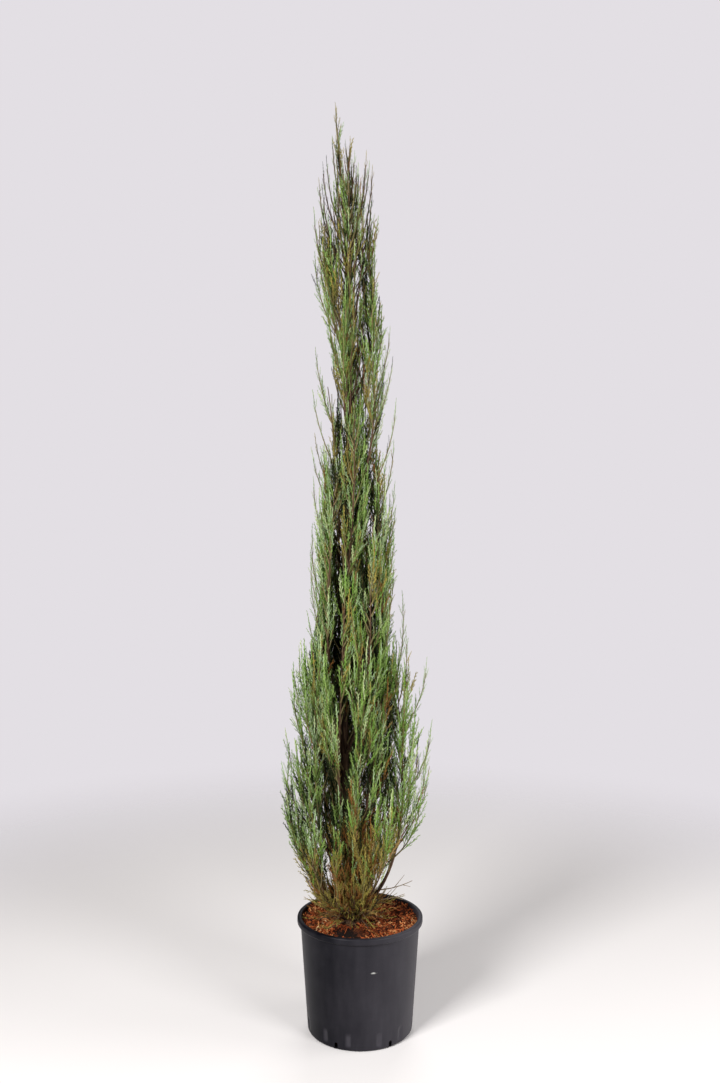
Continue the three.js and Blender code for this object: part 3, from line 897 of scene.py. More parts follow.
class GrowingRoom:
    """The room that each mass keeps to: drawn in between tiers, with dark hollows and gaps that show sky."""

    LINE_STEPS = 13
    TRUNK_STEPS = 200
    CLEARANCE = 8.0
    WAIST_SPAN = 72.0
    # Height and depth of each waist
    LEFT_WAISTS = ((390, 0.2), (1020, 0.3), (1195, 0.2), (1400, 0.26), (1500, 0.34), (1640, 0.24))
    RIGHT_WAISTS = ((390, 0.16), (920, 0.12), (1010, 0.36), (1120, 0.26), (1430, 0.44), (1860, 0.14))
    # Middle, half-width and half-height of each opening, as seen from the front
    HOLLOWS = (
        (-32, 732, 21, 68), (9, 605, 11, 70), (-78, 550, 10, 62),
        (-54, 1168, 12, 110), (14, 1147, 9, 75), (-55, 932, 15, 55),
    )
    HOLLOW_BACK = -8.0
    SKY_GAPS = (
        (-76, 382, 18, 30), (74, 376, 50, 42), (108, 456, 13, 22), (98, 810, 8, 32), (-78, 1442, 10, 26),
        (-40, 1507, 9, 26), (-71, 1562, 13, 32), (-82, 1628, 13, 20), (-60, 1702, 10, 28),
    )

    def __init__(self, rule: GrowthRule, shoots: Sequence[Shoot]) -> None:
        """Takes the stems' lines, each with the needle that ends it.

        Args:
            rule: the growth rule.
            shoots: every shoot that carries a mass.
        """
        self.rule = rule
        lines = []
        for stem, share in ((shoot.stem, shoot.bough_share) for shoot in shoots):
            line = stem.at(np.linspace(share, 1, self.LINE_STEPS))
            lines.append(np.vstack([line, line[-1] + rule.tip_needle * stem.along(1.0)]))
        self.start = np.concatenate([line[:-1] for line in lines])
        self.step = np.concatenate([np.diff(line, axis=0) for line in lines])
        self.count = len(lines)
        trunk = rule.trunk_at(np.linspace(rule.first_bough_z, rule.trunk_end_z, self.TRUNK_STEPS))
        self.wood = np.vstack([trunk, *(shoot.stem.path for shoot in shoots)])

    def tier(self, z: Array, rightward: Array) -> Array:
        """Gives how far the crown draws in between its tiers, which stand at other heights on each side.

        Args:
            z: heights.
            rightward: how far each point lies to the right, from -1 to 1.

        Returns:
            The share of the half-width that is missing.
        """
        left, right = (
            np.max([deep * np.exp(-(((z - at) / self.WAIST_SPAN) ** 2)) for at, deep in waists], axis=0)
            for waists in (self.LEFT_WAISTS, self.RIGHT_WAISTS)
        )
        return blend(left, right, 0.5 + 0.5 * rightward)

    def hollow(self, points: Array) -> Array:
        """Tells which points lie in a dark hollow in the front of the crown or in a gap that shows sky.

        Args:
            points: one row for each point.

        Returns:
            True for each point that lies in one.
        """
        x, y, z = points.T
        dark, clear = (
            np.any([((x - at) / wide) ** 2 + ((z - up) / tall) ** 2 < 1 for at, up, wide, tall in gaps], 0)
            for gaps in (self.HOLLOWS, self.SKY_GAPS)
        )
        return (dark & (y < self.HOLLOW_BACK)) | clear

    def apart(self, points: Array) -> Array:
        """Gives the distance of points from each stem.

        Args:
            points: one row for each point.

        Returns:
            One row for each point, with a distance for each stem.
        """
        off = points[:, None] - self.start
        share = np.clip((off * self.step).sum(-1) / (self.step**2).sum(-1), 0, 1)
        far = np.linalg.norm(off - share[..., None] * self.step, axis=-1)
        return far.reshape(len(points), self.count, -1).min(-1)

    def nearest(self, point: Array) -> int:
        """Gives the number of the shoot whose stem is nearest to a point."""
        return int(np.argmin(self.apart(point[None])[0]))

    def wood_near(self, point: Array) -> Array:
        """Gives the place on the trunk or on a stem that is nearest to a point."""
        return self.wood[np.argmin(np.linalg.norm(self.wood - point, axis=1))]

    def roomy(self, own: int, points: Array, margin: float, proud: float) -> Array:
        """Tells which points are inside the crown and nearest to their own stem.

        Args:
            own: the number of their own shoot.
            points: one row for each point.
            margin: how much nearer they have to be.
            proud: how far they may stand out of the crown's outline.

        Returns:
            True for each point that has room.
        """
        z = points[:, 2]
        off = (points - self.rule.crown_axis(z))[:, :2]
        out = np.linalg.norm(off, axis=1)
        reach = self.rule.half_width(z) * (1 - self.tier(z, off[:, 0] / np.maximum(out, 1))) + proud
        level = (z > self.rule.ground_z + self.CLEARANCE) & (z < self.rule.tip_z)
        near = self.apart(points)
        home = near[:, own].copy()
        near[:, own] = np.inf
        return level & (out < reach) & ~self.hollow(points) & (near.min(1) - home > margin)


@dataclass
class Growth:
    """What has grown: the sprigs of each plume, and the wood that carries them."""

    sprigs: list[tuple[Array, ...]] = field(default_factory=list)
    wood: list[Line] = field(default_factory=list)

    def add(self, mass: int, plume: int, roots: Array, aims: Array, lengths: Array, rises: Array) -> None:
        """Adds one plume's sprigs: where each leaves the wood, its aim, length and rise from 0 to 1."""
        same = (np.full(len(roots), number) for number in (mass, plume))
        self.sprigs.append((roots, aims, lengths, rises, *same))

    def add_wood(self, stem: Stem, age: TwigAge, steps: int = 7) -> int:
        """Adds a twig's wood.

        Args:
            stem: the twig.
            age: what its bark looks like.
            steps: how many points it is drawn with.

        Returns:
            The twig's number.
        """
        share = np.linspace(0, 1, steps)
        self.wood.append((stem.at(share), stem.radius(share), age))
        return len(self.wood) - 1

    def blocked(self, room: GrowingRoom, most: float = 0.4) -> Array:
        """Tells which twigs have too large a share in hollows or gaps, apart from the bare dead ones."""
        hidden = np.array([room.hollow(line).mean() > most for line, _, _ in self.wood])
        return hidden & np.array([age != TwigAge.DEAD for _, _, age in self.wood])


@dataclass(frozen=True)
class Branching:
    """How a mass branches: the source's twigs, set closer, each one a slim plume of sprigs."""

    room: GrowingRoom
    growth: Growth
    sides: int = 3
    band: float = 13.0
    twist: float = 0.5
    sunk: float = 0.5
    habit_z: Row = (330, 430, 1050, 1320, 1440, 1580, 1850, 2120)
    bare_shares: Row = (0.6, 0.0, 0.0, 0.05, 0.5, 0.25, 0.3, 0.6)
    twig_angles: Row = (32, 32, 32, 28, 26, 25, 22, 20)
    twig_lengths: Row = (130, 130, 130, 165, 185, 182, 175, 100)
    sprig_angles: Row = (30, 22, 20, 18.5, 18, 19.5, 23, 14)
    sprig_sizes: Row = (0.95, 1.0, 0.95, 0.85, 0.8, 0.78, 0.72, 0.5)
    tip_size: float = 0.6
    tip_stub: float = 0.4
    tip_stub_radii: Pair = (1.6, 1.0)
    leader_size: float = 1.15
    twig_radius: float = 1.9
    twig_tip_radius: float = 1.0
    twig_bend: float = 0.85
    twig_knee: float = 0.5
    twig_points: int = 13
    first_probe: int = 5
    probe_step: int = 2
    last_twig: float = 0.6
    twig_spread: Pair = (0.85, 1.15)
    whip_share: float = 0.12
    whip_size: float = 1.4
    needle_length: float = 105.0
    needle_share: float = 0.8
    needle_spread: Pair = (0.75, 1.2)
    needle_angle: float = math.radians(19)
    needle_angle_spread: Pair = (0.8, 1.2)
    needle_rise: float = 0.3
    needle_every: int = 3
    tip_needle: float = 70.0
    sprig_step: float = 11.0
    sprig_turn: float = 2.4
    fewest_sprigs: int = 3
    last_sprig: float = 0.97
    sprig_angle_spread: Pair = (0.7, 1.35)
    sprig_spread: Pair = (0.8, 1.2)
    end_spread: Pair = (0.9, 1.35)
    uprightness: float = 0.3
    low_sprig: float = 78.0
    high_sprig: float = 42.0
    own_margin: float = -4.0
    proud: float = 2.0
    top_taper: float = 380.0
    top_least: float = 0.25
    turns_tried: Row = (0.0, 0.7, -0.7, 1.4, -1.4)
    twig_sizes_tried: Row = (1.0, 0.7, 0.5)
    # Each shoot's numbers for its chances start this far apart
    band_numbers: int = 40
    needle_numbers: int = 200

    def sites(self, stem: Stem, start: float, turn: float) -> tuple[Array, ...]:
        """Gives the places on a stem where something may grow, three for each band.

        Args:
            stem: the stem.
            start: the share of the stem where the bands begin.
            turn: the turn of the first band.

        Returns:
            For each site its point, the stem's direction there, the outward direction and its share.
        """
        bands = max(2, round(stem.length * (1 - start) / self.band))
        row = np.repeat(np.arange(bands), self.sides)
        side = np.tile(np.arange(self.sides), bands)
        share = blend(start, 1, (row + 0.5) / bands)
        along = stem.along(share)
        outward = spoke(along, turn + self.twist * row + TURN * side / self.sides)
        points = stem.at(share) + outward * self.sunk * stem.radius(share)[:, None]
        return points, along, outward, (row + 0.5) / bands

    def habit(self, values: Row, z: float) -> float:
        """Reads a value of the plant's habit at a height: the foot and the top are more open."""
        return float(np.interp(z, self.habit_z, values))

    def small(self, z: Array | float) -> Array:
        """Gives how much shorter growth is near the tip, as a share of the usual."""
        return np.clip((self.room.rule.tip_z - z) / self.top_taper, self.top_least, 1)

    def twig(self, own: int, site: tuple[Array, ...], length: float) -> Stem | None:
        """Grows a twig out of a site, bending upright.

        Args:
            own: the number of the shoot.
            site: the point, the stem's direction and the outward direction.
            length: the length it would like.

        Returns:
            The twig, or None where none that is tried has room.
        """
        point, along, outward = site
        across = np.cross(along, outward)
        angle = math.radians(self.habit(self.twig_angles, point[2]))
        for size in self.twig_sizes_tried:
            for turn in self.turns_tried:
                side = math.cos(turn) * outward + math.sin(turn) * across
                leave = math.cos(angle) * along + math.sin(angle) * side
                rise = unit(blend(leave, UP, self.twig_bend))
                knee = point + leave * self.twig_knee * size * length
                tip = knee + rise * self.twig_knee * size * length
                path = even_path([point, knee, tip], self.twig_points)
                needle_end = path[-1] + rise * self.tip_needle
                probes = np.vstack([path[self.first_probe :: self.probe_step], needle_end])
                if self.room.roomy(own, probes, self.own_margin, self.proud).all():
                    return Stem(path, self.twig_radius, self.twig_tip_radius)
        return None

    def plume(
        self, own: int, twig: Stem, age: TwigAge = TwigAge.YOUNG, size: float = 1.0, bare: float = 0.14
    ) -> None:
        """Clothes a twig in sprigs that hug it, shorter towards a long tip.

        Args:
            own: the number of the mass.
            twig: the twig.
            age: what the twig's bark looks like.
            size: the size of its sprigs, as a share of the usual.
            bare: the share of the twig that bears nothing.
        """
        number = self.growth.add_wood(twig, age)
        count = max(self.fewest_sprigs, round((1 - bare) * twig.length / self.sprig_step))
        draw = np.random.default_rng(number)
        share = np.linspace(bare, self.last_sprig, count)
        along = twig.along(share)
        turn = draw.uniform(0, TURN) + self.sprig_turn * np.arange(count)
        middle_z = twig.path[len(twig.path) // 2][2]
        size *= self.habit(self.sprig_sizes, middle_z)
        spread = math.radians(self.habit(self.sprig_angles, middle_z))
        angle = (spread * draw.uniform(*self.sprig_angle_spread, count))[:, None]
        aims = unit(blend(np.cos(angle) * along + np.sin(angle) * spoke(along, turn), UP, self.uprightness))
        usual = blend(self.low_sprig, self.high_sprig, share)
        lengths = size * usual * draw.uniform(*self.sprig_spread, count)
        roots = np.vstack([twig.at(share), twig.path[-1]])
        aims = np.vstack([aims, unit(blend(along[-1], UP, self.uprightness))])
        lengths = np.r_[lengths, size * self.tip_needle * draw.uniform(*self.end_spread)]
        self.growth.add(own, number, roots, aims, lengths, np.r_[share, 1.0])

    def grow(self, shoot: Shoot) -> None:
        """Grows one mass from its stem.

        Args:
            shoot: the shoot that carries it.
        """
        own, stem = shoot.index, shoot.stem
        first = TURN * chance(own, Purpose.FIRST_BAND)
        points, along, outward, share = self.sites(stem, shoot.bough_share, first)
        free = np.ones(len(points), bool)
        for row in range(len(points) // self.sides):
            at = self.sides * row + row % self.sides
            item = self.band_numbers * own + row
            z = points[at][2]
            length = self.habit(self.twig_lengths, z) * blend(1, self.last_twig, share[at])
            length *= blend(*self.twig_spread, chance(item, Purpose.TWIG_LENGTH))
            if chance(item, Purpose.WHIP) < self.whip_share:
                length *= self.whip_size
            if chance(item, Purpose.BARE) < self.habit(self.bare_shares, z):
                continue
            small = float(self.small(z))
            twig = self.twig(own, (points[at], along[at], outward[at]), small * length)
            if twig is not None:
                free[at] = False
                self.plume(own, twig, size=small**0.5)
        end = stem.at(1.0)
        stub = np.array([end, end + self.tip_needle * self.tip_stub * stem.along(1.0)])
        leading = shoot.node == "foliage_leader"
        tip_size = self.leader_size if leading else self.tip_size
        self.plume(own, Stem(stub, *self.tip_stub_radii), size=tip_size)
        if leading:
            self.plume(own, stem, bare=0.0)
        kept = np.flatnonzero(free)[:: self.needle_every]
        self.add_needles(own, kept, (points[kept], along[kept], outward[kept]))

    def add_needles(self, own: int, kept: Array, sites: tuple[Array, ...]) -> None:
        """Grows the needles left between the twigs.

        Args:
            own: the number of the mass.
            kept: the numbers of the sites that bear one.
            sites: their points, the stem's directions there and the outward directions.
        """
        points, along, outward = sites
        items = [self.needle_numbers * own + n for n in kept]
        longer = np.array([chance(item, Purpose.NEEDLE_LENGTH) for item in items])
        wider = np.array([chance(item, Purpose.NEEDLE_ANGLE) for item in items])
        small = self.small(points[:, 2]) ** 0.5
        length = self.needle_share * self.needle_length * small * blend(*self.needle_spread, longer)
        angle = (self.needle_angle * blend(*self.needle_angle_spread, wider))[:, None]
        aim = np.cos(angle) * along + np.sin(angle) * outward
        fits = self.room.roomy(own, points + aim * length[:, None], self.own_margin, self.proud)
        rises = np.full(fits.sum(), self.needle_rise)
        plume = len(self.growth.wood) - 1
        self.growth.add(own, plume, points[fits], aim[fits], length[fits], rises)


@dataclass(frozen=True)
class TrunkShoots:
    """Shoots that stand on the trunk itself: many round its foot, and fewer higher up."""

    rule: GrowthRule
    foot_count: int = 46
    foot_z: float = 262.0
    foot_step: float = 1.5
    foot_turn: float = 0.5
    foot_crowding: float = 1.3
    foot_length: Pair = (55.0, 230.0)
    foot_lean: Pair = (math.radians(46), math.radians(12))
    shaggy_count: int = 150
    shaggy_rise: Pair = (6.0, 62.0)
    shaggy_turn: float = 4.0
    shaggy_length: Pair = (40.0, 120.0)
    shaggy_lean: Pair = (math.radians(36), math.radians(100))
    lowest_z: float = 268.0
    # Start, end and step of each stretch of the trunk above its foot
    stretches: tuple[Point, ...] = ((300.0, 700.0, 6.0), (700.0, 1150.0, 11.0), (1150.0, 1760.0, 36.0))
    high_turn: float = 1.9
    high_length: float = 165.0
    high_length_spread: Pair = (0.7, 1.25)
    high_lean: float = math.radians(24)
    high_lean_spread: Pair = (0.5, 1.3)
    root_share: float = 0.7
    knee: Pair = (0.75, 0.3)
    radius: float = 2.0
    tip_radius: float = 1.0
    points: int = 15
    most_reach: float = 0.5
    full_length: float = 120.0
    least_size: float = 0.42
    home_share: float = 0.7
    # Height on the trunk, then the place of the tip
    spires: tuple[tuple[float, float, float, float], ...] = (
        (1985, -64, -6, 2126), (1990, -25, 8, 2126), (1900, -87, -10, 2068), (1925, -8, 14, 2064),
        (1880, 14, -16, 2088), (1850, 29, 6, 2066), (1850, -97, 12, 2036), (1780, 39, -12, 1928),
        (1760, -108, -4, 1950), (1690, 8, -30, 1945), (1900, -42, 40, 2070), (1840, -52, -38, 2030),
        (1820, -18, 46, 2000), (1730, -6, -34, 1925), (1660, -12, -52, 1860), (1930, -78, 8, 2086),
        (1965, -48, -16, 2104), (1945, -14, -12, 2094), (1905, 20, 12, 2072), (1870, 8, -26, 2036),
        (1830, -86, -18, 2004), (1810, 26, -8, 1990), (1790, -62, -30, 1975), (1770, -30, -40, 1950),
        (1750, 16, 24, 1940), (1350, -12, -72, 1530), (1370, -48, 74, 1545), (1400, -32, -70, 1590),
        (1420, -10, 72, 1620), (1480, -20, -66, 1670), (1500, -44, 66, 1700), (1560, -30, -58, 1740),
        (1580, -14, 62, 1770), (1450, 12, 60, 1640), (1530, 8, -52, 1715),
    )
    spire_knee: Point = (0.85, 0.15, 60.0)
    spire_size: float = 0.75
    spire_bare: float = 0.3

    def shoot(self, z: float, turn: float, length: float, lean: float) -> Stem:
        """Gives one shoot, which leaves the trunk steeply outward and bends upright.

        Args:
            z: the height where it leaves.
            turn: the direction that it leans to.
            length: its length.
            lean: its lean from upright, from end to end.

        Returns:
            The shoot.
        """
        out = heading(turn)
        start = self.rule.trunk_at(z) + out * self.root_share * self.rule.trunk_radius(z)
        climb = UP * max(length * math.cos(lean), self.lowest_z - z)
        across = out * min(length * math.sin(lean), self.most_reach * self.rule.half_width(z + length))
        knee = start + self.knee[0] * across + self.knee[1] * climb
        path = even_path([start, knee, start + across + climb], self.points)
        return Stem(path, self.radius, self.tip_radius)

    def stands(self) -> Iterator[tuple[Stem, TwigAge, Array]]:
        """Gives every shoot: those of the foot, the shaggy ones and those higher up.

        Yields:
            Each shoot, its age and the shares of it that have to be clear of gaps.
        """
        golden = self.rule.golden_angle
        past_tip, upper = np.linspace(0.2, 1.2, 8), np.linspace(0.3, 1, 4)
        for k in range(self.foot_count):
            size = chance(k, Purpose.FOOT_LENGTH) ** self.foot_crowding
            z, turn = self.foot_z + self.foot_step * k, self.foot_turn + k * golden
            foot = self.shoot(z, turn, blend(*self.foot_length, size), blend(*self.foot_lean, size))
            yield foot, TwigAge.WOODY, past_tip
        for k in range(self.shaggy_count):
            z = self.foot_z + self.shaggy_rise[0] + self.shaggy_rise[1] * chance(k, Purpose.SHAGGY_HEIGHT)
            length = blend(*self.shaggy_length, chance(k, Purpose.SHAGGY_LENGTH))
            lean = blend(*self.shaggy_lean, chance(k, Purpose.SHAGGY_LEAN))
            yield self.shoot(z, self.shaggy_turn + k * golden, length, lean), TwigAge.WOODY, past_tip
        for k, z in enumerate(np.concatenate([np.arange(*stretch) for stretch in self.stretches])):
            length = self.high_length * blend(*self.high_length_spread, chance(k, Purpose.HIGH_LENGTH))
            lean = self.high_lean * blend(*self.high_lean_spread, chance(k, Purpose.HIGH_LEAN))
            yield self.shoot(z, self.high_turn + k * golden, length, lean), TwigAge.YOUNG, upper

    def grow(self, branching: Branching) -> None:
        """Grows the shoots, each as a plume of the mass that it stands in.

        Args:
            branching: how plumes are clothed.
        """
        room = branching.room
        out, back, rise = self.spire_knee
        for low, *end in self.spires:
            start, tip = self.rule.trunk_at(low), np.array(end, float)
            knee = np.array([*tip[:2], low]) * out + start * back + UP * rise
            spire = Stem(even_path([start, knee, tip], self.points), self.radius, self.tip_radius)
            branching.plume(room.nearest(tip), spire, TwigAge.WOODY, self.spire_size, self.spire_bare)
        for stem, age, probes in self.stands():
            if not room.hollow(stem.at(probes)).any():
                size = float(np.clip(stem.length / self.full_length, self.least_size, 1))
                branching.plume(room.nearest(stem.at(self.home_share)), stem, age, size)


@dataclass(frozen=True)
class Whips:
    """Long slim shoots with given tips."""

    tips: tuple[Point, ...]
    rise: float
    sprig_size: float
    drawn_in: float = 0.62
    bare_tip: float = 62.0
    knee: float = 0.55
    knee_out: float = 0.12
    radius: float = 1.7
    tip_radius: float = 0.8
    points: int = 15
    home_share: float = 0.3

    def grow(self, branching: Branching) -> None:
        """Grows each whip as a thin plume of the nearest mass.

        Args:
            branching: how plumes are clothed.
        """
        room = branching.room
        for tip in self.tips:
            end = np.array(tip, float) - UP * self.bare_tip
            axis = room.rule.crown_axis(end[2])
            start = room.wood_near(axis + (end - axis) * self.drawn_in - UP * (self.rise - self.bare_tip))
            knee = blend(start, end, self.knee) + self.knee_out * (end - axis)
            twig = Stem(even_path([start, knee, end], self.points), self.radius, self.tip_radius)
            branching.plume(room.nearest(twig.at(self.home_share)), twig, size=self.sprig_size)


# These stand clear of the crown's edge
EDGE_WHIPS = Whips(
    (
        (75, -12, 1668), (82, 10, 1362), (80, -20, 1158), (104, 14, 1090), (112, -8, 1010),
        (160, 4, 937), (170, -16, 779), (164, 22, 655), (78, -30, 1235), (-116, -10, 1132),
        (-148, 6, 957), (-104, 18, 1480), (20, 128, 1010), (-60, 118, 1180), (-20, -118, 1090),
        (60, 98, 1420), (84, -6, 1560), (80, 16, 1470), (84, 4, 1310), (70, -44, 1190), (-112, 8, 1380),
        (-108, -14, 1580), (-104, 6, 1690), (-116, 14, 1260), (-122, -8, 1050), (-30, 104, 1500),
        (-70, 90, 1620), (58, -34, 1420), (62, 48, 1150), (66, -56, 1060), (-118, -18, 1190),
        (-110, -6, 1440), (70, 6, 1745),
    ),
    rise=210.0,
    sprig_size=0.62,
)

# These fill the low tiers and the front of the foot
LOW_WHIPS = Whips(
    (
        (-172, -22, 745), (-177, 12, 690), (-172, -46, 668), (-178, -8, 628), (-168, 34, 640),
        (-170, -30, 585), (-176, 8, 560), (-150, -70, 610), (-72, -118, 640), (-96, -104, 585),
        (-48, -130, 560), (-86, -112, 690), (-118, -88, 655), (-20, -132, 600), (-140, -40, 550),
        (-138, 24, 520), (-120, -62, 520), (-104, 60, 530), (-62, -112, 520), (96, -80, 560),
        (118, -44, 520), (70, -104, 600), (46, -104, 640), (58, -76, 590), (36, -112, 560),
        (8, -92, 455), (28, -88, 478), (50, -84, 452), (-14, -94, 440), (20, -70, 508), (42, -66, 525),
        (-36, -90, 470), (2, -62, 522), (-46, -76, 500), (-22, 30, 800), (-14, 48, 760), (-24, 62, 840),
        (-18, 26, 735), (-10, 78, 790),
    ),
    rise=250.0,
    sprig_size=0.95,
)


@dataclass(frozen=True)
class DeadTwigs:
    """Bare dead side twigs on the lowest bough, low on the right."""

    leaves_at: Row = (0.1, 0.15)
    ends: tuple[Point, ...] = ((109.0, -14.0, 336.0), (128.0, -6.0, 366.0))
    radius: float = 1.7
    tip_radius: float = 0.7
    points: int = 13
    sag: float = 9.0
    # Share along the twig, reach and rise of each fork
    forks: tuple[Point, ...] = ((0.45, 26.0, 24.0), (0.7, 20.0, -10.0))
    fork_radii: Pair = (1.0, 0.5)
    fork_points: int = 5
    fork_steps: int = 4

    def grow(self, bough: Shoot, growth: Growth) -> None:
        """Adds each twig and its forks to the wood.

        Args:
            bough: the bough that bears them.
            growth: what has grown so far.
        """
        for share, end in zip(self.leaves_at, self.ends):
            start, tip = bough.stem.at(share), np.array(end)
            middle = blend(start, tip, 0.5) - UP * self.sag
            twig = Stem(even_path([start, middle, tip], self.points), self.radius, self.tip_radius)
            growth.add_wood(twig, TwigAge.DEAD)
            for at, reach, rise in self.forks:
                root = twig.at(at)
                fork = even_path([root, root + unit(tip - start) * reach + UP * rise], self.fork_points)
                growth.add_wood(Stem(fork, *self.fork_radii), TwigAge.DEAD, self.fork_steps)


# Pieces


@dataclass(frozen=True)
class Pot:
    """The nursery pot: a tapered wall with a rolled lip, a rounded foot, drain slots and short flutes."""

    height: float = 280.0
    rim_radius: float = 153.5
    foot_radius: float = 128.0
    wall: float = 3.0
    floor: float = 4.0
    foot_round: float = 7.0
    lip_reach: float = 8.0
    lip_depth: float = 16.0
    lip_round: float = 4.0
    lip_inner: float = 0.7
    facets: int = 240
    crease: float = math.radians(35)
    arc: Row = (0, 22.5, 45, 67.5, 90)
    outer_rows: Row = (10, 14, 18, 22, 26, 30, 34, 38, 42, 46, 52, 80, 120, 160, 200, 235, 255)
    inner_rows: Row = (180, 90)
    drain_count: int = 6
    drain_width: float = 9.0
    drain_height: float = 15.0
    drain_sill: float = 3.0
    drain_reach: Pair = (-22.0, 20.0)
    drain_arch: int = 9
    first_drain: float = math.radians(-116)
    flute_turn: float = math.radians(16.5)
    flute_half_width: float = math.radians(3.2)
    flute_low: float = 9.0
    flute_high: float = 46.0
    flute_ends: Pair = (6.0, 12.0)
    flute_steepness: float = 2.2
    flute_depth: float = 2.2

    def wall_radius(self, z: Array | float) -> Array | float:
        """Gives the outer radius of the straight wall at a height."""
        return blend(self.foot_radius, self.rim_radius - self.lip_reach, z / (self.height - self.lip_depth))

    def profile(self) -> list[Pair]:
        """Gives the turned section from the middle of the underside round to the middle of the floor.

        Returns:
            The radius and height of each corner.
        """
        arc = [(1 - math.sin(math.radians(a)), 1 - math.cos(math.radians(a))) for a in self.arc]
        lip_foot, rim, top_z = self.height - self.lip_depth, self.rim_radius, self.height
        low, high, inner = self.foot_round, self.lip_round, self.lip_inner * self.lip_round
        bore = self.wall_radius(lip_foot) - self.wall
        foot = [(self.wall_radius(low) - low * a, low * b) for a, b in arc]
        wall = [(self.wall_radius(z), float(z)) for z in (*self.outer_rows, lip_foot)]
        under = [(rim - high * a, lip_foot + high * b) for a, b in arc[1:]]
        over = [(rim - high * b, top_z - high * a) for a, b in arc]
        inside = [(bore + inner * a, top_z - inner * b) for a, b in arc]
        down = [(self.wall_radius(z) - self.wall, float(z)) for z in (lip_foot, *self.inner_rows, self.floor)]
        ends = (0.0, 0.0), (0.5 * self.foot_radius, 0.0), (0.0, self.floor)
        return [*ends[:2], *foot, *wall, *under, *over, *inside, *down, ends[2]]

    def flute(self, turn: Array, z: Array) -> Array:
        """Gives how deep the flutes are on the outer wall.

        Args:
            turn: turns round the pot.
            z: heights.

        Returns:
            The depth at each place.
        """
        sector = TURN / self.drain_count
        middle = self.first_drain + sector / 2
        off = np.abs((turn - middle + sector / 2) % sector - sector / 2)
        near = np.clip(1 - np.abs(off - self.flute_turn) / self.flute_half_width, 0, 1)
        low, high = self.flute_ends
        rise = np.clip((z - self.flute_low) / low, 0, 1) * np.clip((self.flute_high - z) / high, 0, 1)
        return self.flute_depth * np.clip(self.flute_steepness * near, 0, 1) * rise

    def drain_cutters(self) -> Object:
        """Makes one mesh of the arched prisms that cut the drain slots.

        Returns:
            The mesh object.
        """
        half = self.drain_width / 2
        straight = self.drain_height - half
        bends = np.linspace(0, math.pi, self.drain_arch)
        arch = [(half * math.cos(a), straight + half * math.sin(a)) for a in bends]
        section = [(-half, 0.0), (half, 0.0), *arch]
        points: list[Array] = []
        faces: Faces = []
        for k in range(self.drain_count):
            out = heading(self.first_drain + TURN * k / self.drain_count)
            side = np.cross(UP, out)
            faces += prism_faces(len(section), 2, len(points))
            for reach in self.drain_reach:
                middle = (self.foot_radius + reach) * out
                points += [middle + across * side + UP * (self.drain_sill + z) for across, z in section]
        return mesh_piece("drain_cutters", np.array(points), faces, smooth=False)

    def build(self) -> None:
        """Turns the section, presses in the flutes, cuts the drain slots and dresses the pot."""
        ring = np.array(self.profile())[1:-1]
        turns = np.linspace(0, TURN, self.facets, endpoint=False)
        radius = ring[None, :, 0] - self.flute(turns[:, None], ring[None, :, 1])
        x, y = radius * np.cos(turns)[:, None], radius * np.sin(turns)[:, None]
        grid = np.stack([x, y, np.broadcast_to(ring[:, 1], radius.shape)], axis=-1)
        points = np.vstack([grid.reshape(-1, 3), [[0, 0, 0]], [[0, 0, self.floor]]])
        pot = mesh_piece("pot_wall", points, turned_faces(self.facets, len(ring), outward=True))
        cutters = self.drain_cutters()
        cut = pot.modifiers.new("drains", "BOOLEAN")
        cut.object = cutters
        cut.operation = "DIFFERENCE"
        cut.solver = "EXACT"
        keep_result(pot)
        bpy.data.objects.remove(cutters)
        pot.data.polygons.foreach_set("use_smooth", [True] * len(pot.data.polygons))
        pot.data.set_sharp_from_angle(angle=self.crease)
        x, y, z = corners_of(pot.data).T / MM
        outside = np.hypot(x, y) > self.wall_radius(z) - 0.5 * (self.flute_depth + self.wall)
        pressed = np.where(outside, self.flute(np.arctan2(y, x), z), 0) / self.flute_depth
        # The flutes' share is kept for the plastic's painted highlight on them
        set_attributes(pot.data, "POINT", {"flute": ("FLOAT", pressed)})
        pot.data.materials.clear()
        pot.data.materials.append(PotPlastic().material())
        settle(pot, "pot_plastic", "pot")


